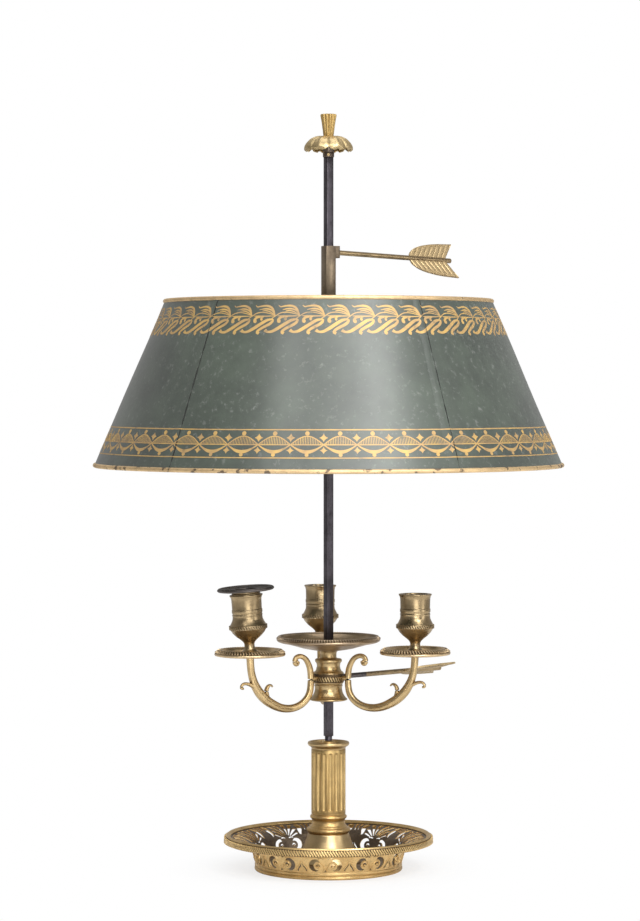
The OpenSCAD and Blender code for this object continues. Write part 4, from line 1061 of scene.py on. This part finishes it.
# ---- Cluster key ----
# A thumb screw made like the tail of an arrow: a round shaft, dark where it runs into the hub, and two
# cast vanes in pale gold with curved barbs cut on both faces.
key_reach = 124.2
vane_l = 47
vane_h = 16.6
vane_t = 1.6
vane_sweep = 11
barb_pitch = 4.7
barb_w = 0.9
vane_gold = aged_metal("vane_pale_gold", (0.54, 0.41, 0.23), (0.45, 0.34, 0.185), (0.22, 0.15, 0.08),
                       rough=(0.44, 0.56), crevice=0.8, speckle=0.05, pitted=0.05)
shaft_brown = aged_metal("key_shaft_brown_brass", (0.42, 0.31, 0.17), (0.26, 0.19, 0.11),
                         rough=(0.28, 0.42), speckle=0.3)
shaft_steel = aged_metal("key_shaft_dark_steel", (0.17, 0.15, 0.15), (0.10, 0.09, 0.09), (0.04, 0.03, 0.03),
                         rough=(0.3, 0.45), speckle=0.3)


def key_shaft(name, start, placing, dark_to):
    """The shaft of a key along X, with a rounded outer end, set in its place."""
    shaft = add_mesh(bpy.ops.mesh.primitive_cylinder_add, name, vertices=32, radius=key_r * mm,
                     depth=(key_reach - start) * mm, location=((key_reach + start) / 2 * mm, 0, 0),
                     rotation=(0, radians(90), 0))
    settle()
    open_mesh("SELECT", "EDGE")
    bpy.ops.mesh.bisect(plane_co=(dark_to * mm, 0, 0), plane_no=(1, 0, 0))
    close_mesh()
    for edge in shaft.data.edges:
        ends = [shaft.data.vertices[i].co.x / mm for i in edge.vertices]
        edge.select = min(ends) > key_reach - 0.1
    open_mesh()
    bpy.ops.mesh.bevel(offset=0.9 * mm, segments=4, affect="EDGES")
    close_mesh()
    smooth(40)
    mark_faces(shaft, lambda face: face.center.x < dark_to * mm)
    shaft.data.transform(placing)
    return shaft


def key_vanes(name, placing):
    """Both vanes of a key, upright on the X axis, with barbs that curve out and back, set in their place."""
    vanes = []
    front = key_reach - 6.6 + vane_sweep - vane_l
    for side in (1, -1):
        vane = add_mesh(bpy.ops.mesh.primitive_grid_add, x_subdivisions=104, y_subdivisions=20, size=2)
        for vertex in vane.data.vertices:
            up = 0.6 + (vane_h - 0.6) * ((vertex.co.y + 1) / 2)
            along = (vertex.co.x + 1) / 2
            lead = front + vane_l * (1 - cos(asin(min(1, up / vane_h) ** 1.25)))
            trail = front + vane_l - vane_sweep * (1 - up / vane_h)
            vertex.co = ((lead + (trail - lead) * along) * mm, side * up * mm, 0)
        modify(vane, "SOLIDIFY", thickness=vane_t * mm, offset=0)
        for vertex in vane.data.vertices:
            up = abs(vertex.co.y) / mm
            barb = (vertex.co.x / mm - 0.85 * up + 0.018 * up * up) / barb_pitch
            notch = max(0, 1 - abs(barb - round(barb)) * barb_pitch / barb_w) if up > 3 else 0
            rim = min(1, max(0, vane_h - up) / 0.8)
            vertex.co.z *= 1 - 0.42 * notch * rim
        vanes.append(vane)
    pair = join(*vanes)
    pair.name = name
    seal()
    smooth(35)
    pair.data.transform(placing @ Matrix.Rotation(radians(90), 4, "X"))
    return pair


cluster_shaft = key_shaft("cluster_key_shaft_turned", 3.6, cluster_key_at, 40)
cluster_vanes = key_vanes("cluster_key_vanes_cast", cluster_key_at @ Matrix.Rotation(radians(71), 4, "X"))
dress(cluster_shaft, shaft_brown, "cluster_key", "key_brass", "cluster_key_shaft", groove=shaft_steel)
dress(cluster_vanes, vane_gold, "cluster_key", "key_brass", "cluster_key_vanes")

# ---- Shade key ----
# The same key clamps the shade's sleeve to the rod. It droops a little, and its vanes stand nearly
# upright.
sleeve_z, sleeve_top = extent("shade_sleeve")[1:]
boss_h = 10.4
key_droop = 2.5
bore_at = Matrix.Translation((0, 0, (sleeve_top - boss_h / 2) * mm))
droop = Matrix.Rotation(radians(key_droop), 4, "Y")
shade_key_at = bore_at @ Matrix.Rotation(radians(rod_az), 4, "Z") @ droop
shade_shaft = key_shaft("shade_key_shaft_turned", 3.35, shade_key_at, 9.3)
shade_vanes = key_vanes("shade_key_vanes_cast", shade_key_at @ Matrix.Rotation(radians(-27), 4, "X"))
dress(shade_shaft, shaft_brown, "shade_key", "key_brass", "shade_key_shaft", groove=shaft_steel)
dress(shade_vanes, vane_gold, "shade_key", "key_brass", "shade_key_vanes")

# ---- Sleeve and boss ----
# The shade slides on a square brass tube, browned by handling. A square boss soldered to its upper end
# takes the key.
sleeve_side = 9.4
boss_w = 9
boss_l = 4.2
sleeve_brass = aged_metal("sleeve_brown_brass", (0.28, 0.22, 0.15), (0.18, 0.14, 0.10),
                          rough=(0.3, 0.46), speckle=0.3)
sleeve_mid = (sleeve_z + sleeve_top) / 2
slot_tool = add_mesh(bpy.ops.mesh.primitive_cube_add, size=mm, location=(0, 0, sleeve_mid * mm))
slot_tool.scale = (rod_side + 0.2, rod_side + 0.2, sleeve_top - sleeve_z + 4)
settle()
bore_tool = key_drill(bore_at @ droop, 20)
for name, node, low, x0, x1, width in [
    ("shade_sleeve_tube", "shade_sleeve", sleeve_z, -sleeve_side / 2, sleeve_side / 2, sleeve_side),
    ("shade_sleeve_boss", "sleeve_boss", sleeve_top - boss_h, sleeve_side / 2 - 0.5,
     sleeve_side / 2 + boss_l, boss_w),
]:
    block = add_mesh(bpy.ops.mesh.primitive_cube_add, name, size=mm,
                     location=((x0 + x1) / 2 * mm, 0, (low + sleeve_top) / 2 * mm))
    block.scale = (x1 - x0, width, sleeve_top - low)
    settle()
    open_mesh("SELECT", "EDGE")
    bpy.ops.mesh.bevel(offset=arris * mm, segments=2, affect="EDGES")
    close_mesh()
    for tool in (slot_tool, bore_tool):
        modify(block, "BOOLEAN", solver="EXACT", object=tool)
    set_at(block, rod_az)
    smooth(40)
    dress(block, sleeve_brass, "shade_carrier", "canopy_brass", node)
bpy.data.objects.remove(slot_tool)
bpy.data.objects.remove(bore_tool)
colour_solid("shade_spider", sleeve_brass)

# ---- Shade panels ----
# Five panels of sheet iron are lapped and soldered to a cone and painted a dark grey-green. The paint
# is clouded, scratched and bloomed, and the sheet is no longer quite even.
shade_top_z = 489.4
shade_top_r = 140.2
shade_bottom_r = 200.5
shade_h = 140.4
sheet_t = 0.8
slope = atan2(shade_bottom_r - shade_top_r, shade_h)
sheet_l = shade_h / cos(slope)
panels = 5
panel_deg = 360 / panels
seam_az = -131.3
lap_deg = 1.6
lap_edge = 0.9
lap_ease = 0.15
dent_h = 0.22
dent_ends = 12
lap_lift = 0.4


def on_cone(angle, along, lift):
    """The point at an angle in degrees, so far down the sheet and so far off its middle."""
    r = shade_top_r + along * sin(slope) + lift * cos(slope)
    z = shade_top_z - along * cos(slope) + lift * sin(slope)
    return (r * cos(radians(angle)) * mm, r * sin(radians(angle)) * mm, z * mm)


def on_shade(angle, along, out):
    """The same, but so far off the dented outer face, which steps up where a panel laps over the next."""
    turn = radians(angle)
    ends = min(1, along / dent_ends, (sheet_l - along) / dent_ends) if 0 < along < sheet_l else 0
    dent = dent_h * ends * (sin(3 * turn + 1.2) * sin(along / 31 + 0.5) + 0.6 * sin(7 * turn + along / 17))
    past = (angle - seam_az + panel_deg / 2) % panel_deg - panel_deg / 2
    lap = min(1, max(0, past + lap_deg) / lap_deg) * min(1, max(0, lap_edge + lap_ease - past) / lap_ease)
    return on_cone(angle, along, 0.5 * sheet_t + out + dent + lap_lift * lap)


tole, tree, paint = new_material("tole_green_paint", {"Coat Weight": 0.5, "Coat Roughness": 0.3})
clouds = noise(tree, 16, 8, 0.68)
bloom = noise(tree, 210, 6, 0.7)
grain = noise(tree, 900, 2)
greens = colour_ramp(tree, (0.36, (0.046, 0.055, 0.046)), (0.66, (0.076, 0.095, 0.074)))
dust = spread(tree, bloom, "Fac", 0.56, 0.74, 0, 0.42)
dusty = add_node(tree, "Mix", {"B": (0.30, 0.31, 0.29, 1)}, data_type="RGBA")
gloss = spread(tree, bloom, "Fac", 0.3, 0.7, 0.36, 0.52)
skin = add_node(tree, "Bump", {"Strength": 0.22, "Distance": 0.1 * mm})
wire(tree, (clouds, "Fac", greens, "Fac"), (dust, "Result", dusty, "Factor"), (greens, "Color", dusty, "A"),
     (dusty, "Result", paint, "Base Color"), (gloss, "Result", paint, "Roughness"),
     (grain, "Fac", skin, "Height"), (skin, "Normal", paint, "Normal"), (skin, "Normal", paint, "Coat Normal"))

first_columns = [-1.6, -1.1, -0.6, 0, 0.4, 0.8, 0.9, 1.05, 1.2]
last_columns = [70.28, 70.38, 70.5, 71.2, 71.98]
columns = 150
middle = columns + 1 - len(first_columns) - len(last_columns)
wide = last_columns[0] - first_columns[-1]
even_columns = [first_columns[-1] + wide * (k + 1) / (middle + 1) for k in range(middle)]
panel_columns = first_columns + even_columns + last_columns
tucked = -0.88
for index in range(panels):
    panel = add_mesh(bpy.ops.mesh.primitive_grid_add, "shade_panel_%d_sheet" % (index + 1),
                     x_subdivisions=columns, y_subdivisions=48, size=2)
    for vertex in panel.data.vertices:
        turn = panel_columns[round((vertex.co.x + 1) / 2 * columns)]
        along = sheet_l * (1 - vertex.co.y) / 2
        angle = seam_az + panel_deg * index + turn
        if turn > panel_deg - lap_deg + 0.05:
            vertex.co = on_cone(angle, along, 0.5 * sheet_t + tucked)
        else:
            vertex.co = on_shade(angle, along, 0)
    modify(panel, "SOLIDIFY", thickness=sheet_t * mm, offset=-1)
    seal()
    smooth(30)
    dress(panel, tole, "shade_carrier", "tole_paint", "shade_panel_%d" % (index + 1))

# A dark line of dirt and cracked paint fills the foot of each lap.
seam_dirt = new_material("seam_dirt", {"Base Color": (0.012, 0.013, 0.011, 1), "Roughness": 0.8})[0]
crack_end = 2.2
cracks = []
for index in range(panels):
    crack = add_mesh(bpy.ops.mesh.primitive_grid_add, x_subdivisions=3, y_subdivisions=96, size=2)
    for vertex in crack.data.vertices:
        along = crack_end + (sheet_l - 2 * crack_end) * (1 - vertex.co.y) / 2
        width = 0.12 + 0.05 * sin(along / 5) + 0.03 * sin(along / 1.7)
        vertex.co = on_shade(seam_az + panel_deg * index + lap_edge + 0.1 + width * vertex.co.x, along, 0.16)
    modify(crack, "SOLIDIFY", thickness=0.15 * mm, offset=-1)
    cracks.append(crack)
crack = join(*cracks)
crack.name = "shade_seam_dirt"
seal()
dress(crack, seam_dirt, "shade_carrier", "tole_paint")

# ---- Shade beads ----
# The top and bottom edges of the shade are rolled over a wire. The rolls are gilded, and the gilding is
# worn through in places, most of all below.
roll_r = 1.9
for radius, height, name, node, bare in [
    (shade_top_r, shade_top_z, "shade_top_roll", "shade_top_bead", 0.66),
    (shade_bottom_r, shade_top_z - shade_h, "shade_bottom_roll", "shade_bottom_bead", 0.58),
]:
    roll = add_mesh(bpy.ops.mesh.primitive_torus_add, name, major_radius=radius * mm,
                    minor_radius=roll_r * mm, major_segments=256, minor_segments=18,
                    location=(0, 0, height * mm))
    settle()
    bpy.ops.object.shade_smooth()
    worn = aged_metal(name + "_worn_gilt", (0.86, 0.64, 0.36), (0.64, 0.47, 0.27), (0.16, 0.12, 0.08),
                      rough=(0.5, 0.62), speckle=0.2)
    tree = worn.node_tree
    patches = noise(tree, 150, 5)
    gone = spread(tree, patches, "Fac", bare, bare + 0.05)
    lost = add_node(tree, "Mix", {"B": (0.22, 0.165, 0.115, 1)}, data_type="RGBA")
    shader = tree.nodes["Principled BSDF"]
    tree.links.new(shader.inputs["Base Color"].links[0].from_socket, lost.inputs["A"])
    wire(tree, (gone, "Result", lost, "Factor"), (lost, "Result", shader, "Base Color"))
    dress(roll, worn, "shade_carrier", "bead_gilt", node)

# ---- Painted bands ----
# Two bands are painted in gold on the green: leaf scrolls under the top roll, and a chain of hatched
# ovals between two lines above the bottom roll. Each has forty-five repeats, nine on a panel.
repeats = 45
repeat_deg = 360 / repeats


def eased(points, t):
    """The point at t from 0 to 1 on a smooth curve through points."""
    place = min(max(t, 0), 0.99999) * (len(points) - 1)
    i = int(place)
    k = place - i
    a, b = points[max(i - 1, 0)], points[i]
    c, d = points[i + 1], points[min(i + 2, len(points) - 1)]
    return [0.5 * (2 * q + (r - p) * k + (2 * p - 5 * q + 4 * r - s) * k * k
                   + (3 * q - p - 3 * r + s) * k ** 3) for p, q, r, s in zip(a, b, c, d)]


def brush(points, steps):
    """A stroke laid out flat, from (across, down, half width) points in millimetres."""
    mark = add_mesh(bpy.ops.mesh.primitive_grid_add, x_subdivisions=steps, y_subdivisions=1, size=2)
    for vertex in mark.data.vertices:
        t = (vertex.co.x + 1) / 2
        side = 1 if vertex.co.y > 0 else -1
        x, y, w = eased(points, t)
        x0, y0, w0 = eased(points, t - 0.02)
        x1, y1, w1 = eased(points, t + 0.02)
        length = hypot(x1 - x0, y1 - y0) or 1
        vertex.co = ((x - side * w * (y1 - y0) / length) * mm, (y + side * w * (x1 - x0) / length) * mm, 0)
    return mark


def dab(x, y, radius, lobes=0.0, sides=12):
    """A painted dot, or a flower of four petals where lobes is more than nothing."""
    mark = add_mesh(bpy.ops.mesh.primitive_circle_add, vertices=sides, radius=radius * mm, fill_type="NGON")
    for vertex in mark.data.vertices:
        turn = atan2(vertex.co.y, vertex.co.x)
        reach = 1 + lobes * max(0, cos(4 * turn)) ** 2
        vertex.co = (vertex.co.x * reach + x * mm, vertex.co.y * reach + y * mm, 0)
    return mark


def lay_on_shade(name, marks, down, size_deg):
    """Repeat flat marks round the shade at their distance down the sheet, as one thin coat of paint."""
    coat = join(*marks)
    coat.name = name
    modify(coat, "ARRAY", count=repeats, use_relative_offset=False, use_constant_offset=True,
           constant_offset_displace=(repeat_deg * size_deg * mm, 0, 0))
    for vertex in coat.data.vertices:
        vertex.co = on_shade(seam_az + vertex.co.x / mm / size_deg, down + vertex.co.y / mm, 0.1)
    open_mesh(by="FACE")
    seal()
    for face in coat.data.polygons:
        if face.normal.dot(Vector((face.center.x, face.center.y, 0))) < 0:
            face.flip()
    modify(coat, "SOLIDIFY", thickness=0.14 * mm, offset=-1)
    dress(coat, band_gold, "shade_carrier", "bead_gilt")


band_gold, tree, paint = new_material("band_gold_paint", {"Metallic": 0.35, "Roughness": 0.5})
wear = noise(tree, 120, 5)
golds = colour_ramp(tree, (0.34, (0.60, 0.39, 0.13)), (0.62, (0.46, 0.30, 0.14)), (0.74, (0.20, 0.17, 0.10)))
wire(tree, (wear, "Fac", golds, "Fac"), (golds, "Color", paint, "Base Color"))

top_band_r = 147
top_band_at = 16.8
low_band_r = 191.5
low_band_at = 129.9
scrolls = [
    brush([(0, 0, 0.3), (-2.1, -5.1, 0.8), (-4.7, -8, 0.9), (-8.9, -9.2, 0.9), (-14.1, -8.7, 0.6),
           (-16.8, -8.2, 0.5), (-18.6, -9.7, 0.2)], 14),
    brush([(-0.5, -1.1, 0.3), (-3.7, -5.1, 0.6), (-8.9, -6.5, 0.7), (-14.7, -5.6, 0.2)], 10),
    brush([(-1, -1.1, 0.3), (-4.7, -3.6, 0.45), (-8.9, -4.8, 0.5), (-12, -4.4, 0.2)], 8),
    brush([(-24.6, 3.4, 0.3), (-20.4, 0.2, 0.4), (-17.4, -2.0, 0.4), (-14.1, -3.1, 0.45), (-9.9, -3.2, 0.4),
           (-4.7, -2.1, 0.4), (-0.5, -0.6, 0.3)], 14),
    brush([(-18.5, 0, 0.2), (-14, 0.2, 0.6), (-8, 0.2, 0.5), (0, 0, 0.3)], 8),
    brush([(-12.6, 0.6, 1.0), (-15.6, 1.4, 1.0), (-17.2, 3.2, 1.2), (-16.6, 5.0, 1.5),
           (-15.8, 6.0, 0.6)], 10),
    brush([(-9.8, 0.6, 0.6), (-11.4, 1.4, 0.7), (-11.4, 3.0, 1.1), (-10.6, 3.8, 0.5)], 7),
    brush([(-1.4, 3.0, 0.6), (-6.3, 3.8, 1.2), (-11.5, 7.2, 1.4), (-17.3, 11.4, 1.4), (-21.5, 13.9, 1.2),
           (-25.2, 14.2, 1.0), (-27.6, 12.6, 1.5)], 18),
    brush([(-1.2, 3.0, 0.6), (-1.8, 5.2, 1.1), (-4.2, 7.6, 1.2), (-8.4, 10.0, 1.2), (-12.2, 12.6, 1.1),
           (-13.2, 14.6, 1.3), (-11.6, 15.6, 1.2)], 14),
]
lay_on_shade("painted_leaf_scrolls", scrolls, top_band_at, radians(top_band_r))

oval_w = repeat_deg * radians(low_band_r)
ovals = []
for k, height, thick in [(-1, 7.4, 0.0), (1, 6.2, 1.1)]:
    ovals.append(brush([(oval_w * i / 8, k * height * sin(pi * i / 8), 0.42 + thick * sin(pi * i / 8) ** 2)
                        for i in range(9)], 20))
for down, half in [(-13.0, 0.5), (0, 0.42), (11.4, 0.45)]:
    ovals.append(brush([(0, down, half), (oval_w / 2, down, half), (oval_w, down, half)], 8))
for k in range(-8, 9):
    x = oval_w / 2 + 1.35 * k
    ovals.append(brush([(x, -7.2 * sin(pi * x / oval_w), 0.24), (x, 0, 0.24)], 2))
ovals.append(dab(oval_w / 2, -9.8, 1.9))
ovals.append(dab(oval_w / 2, 8.8, 1.6))
ovals.append(dab(0, -6.0, 2.0, 0.8, 24))
ovals.append(dab(0, 4.9, 1.7, 0.8, 24))
lay_on_shade("painted_ovals", ovals, low_band_at, radians(low_band_r))
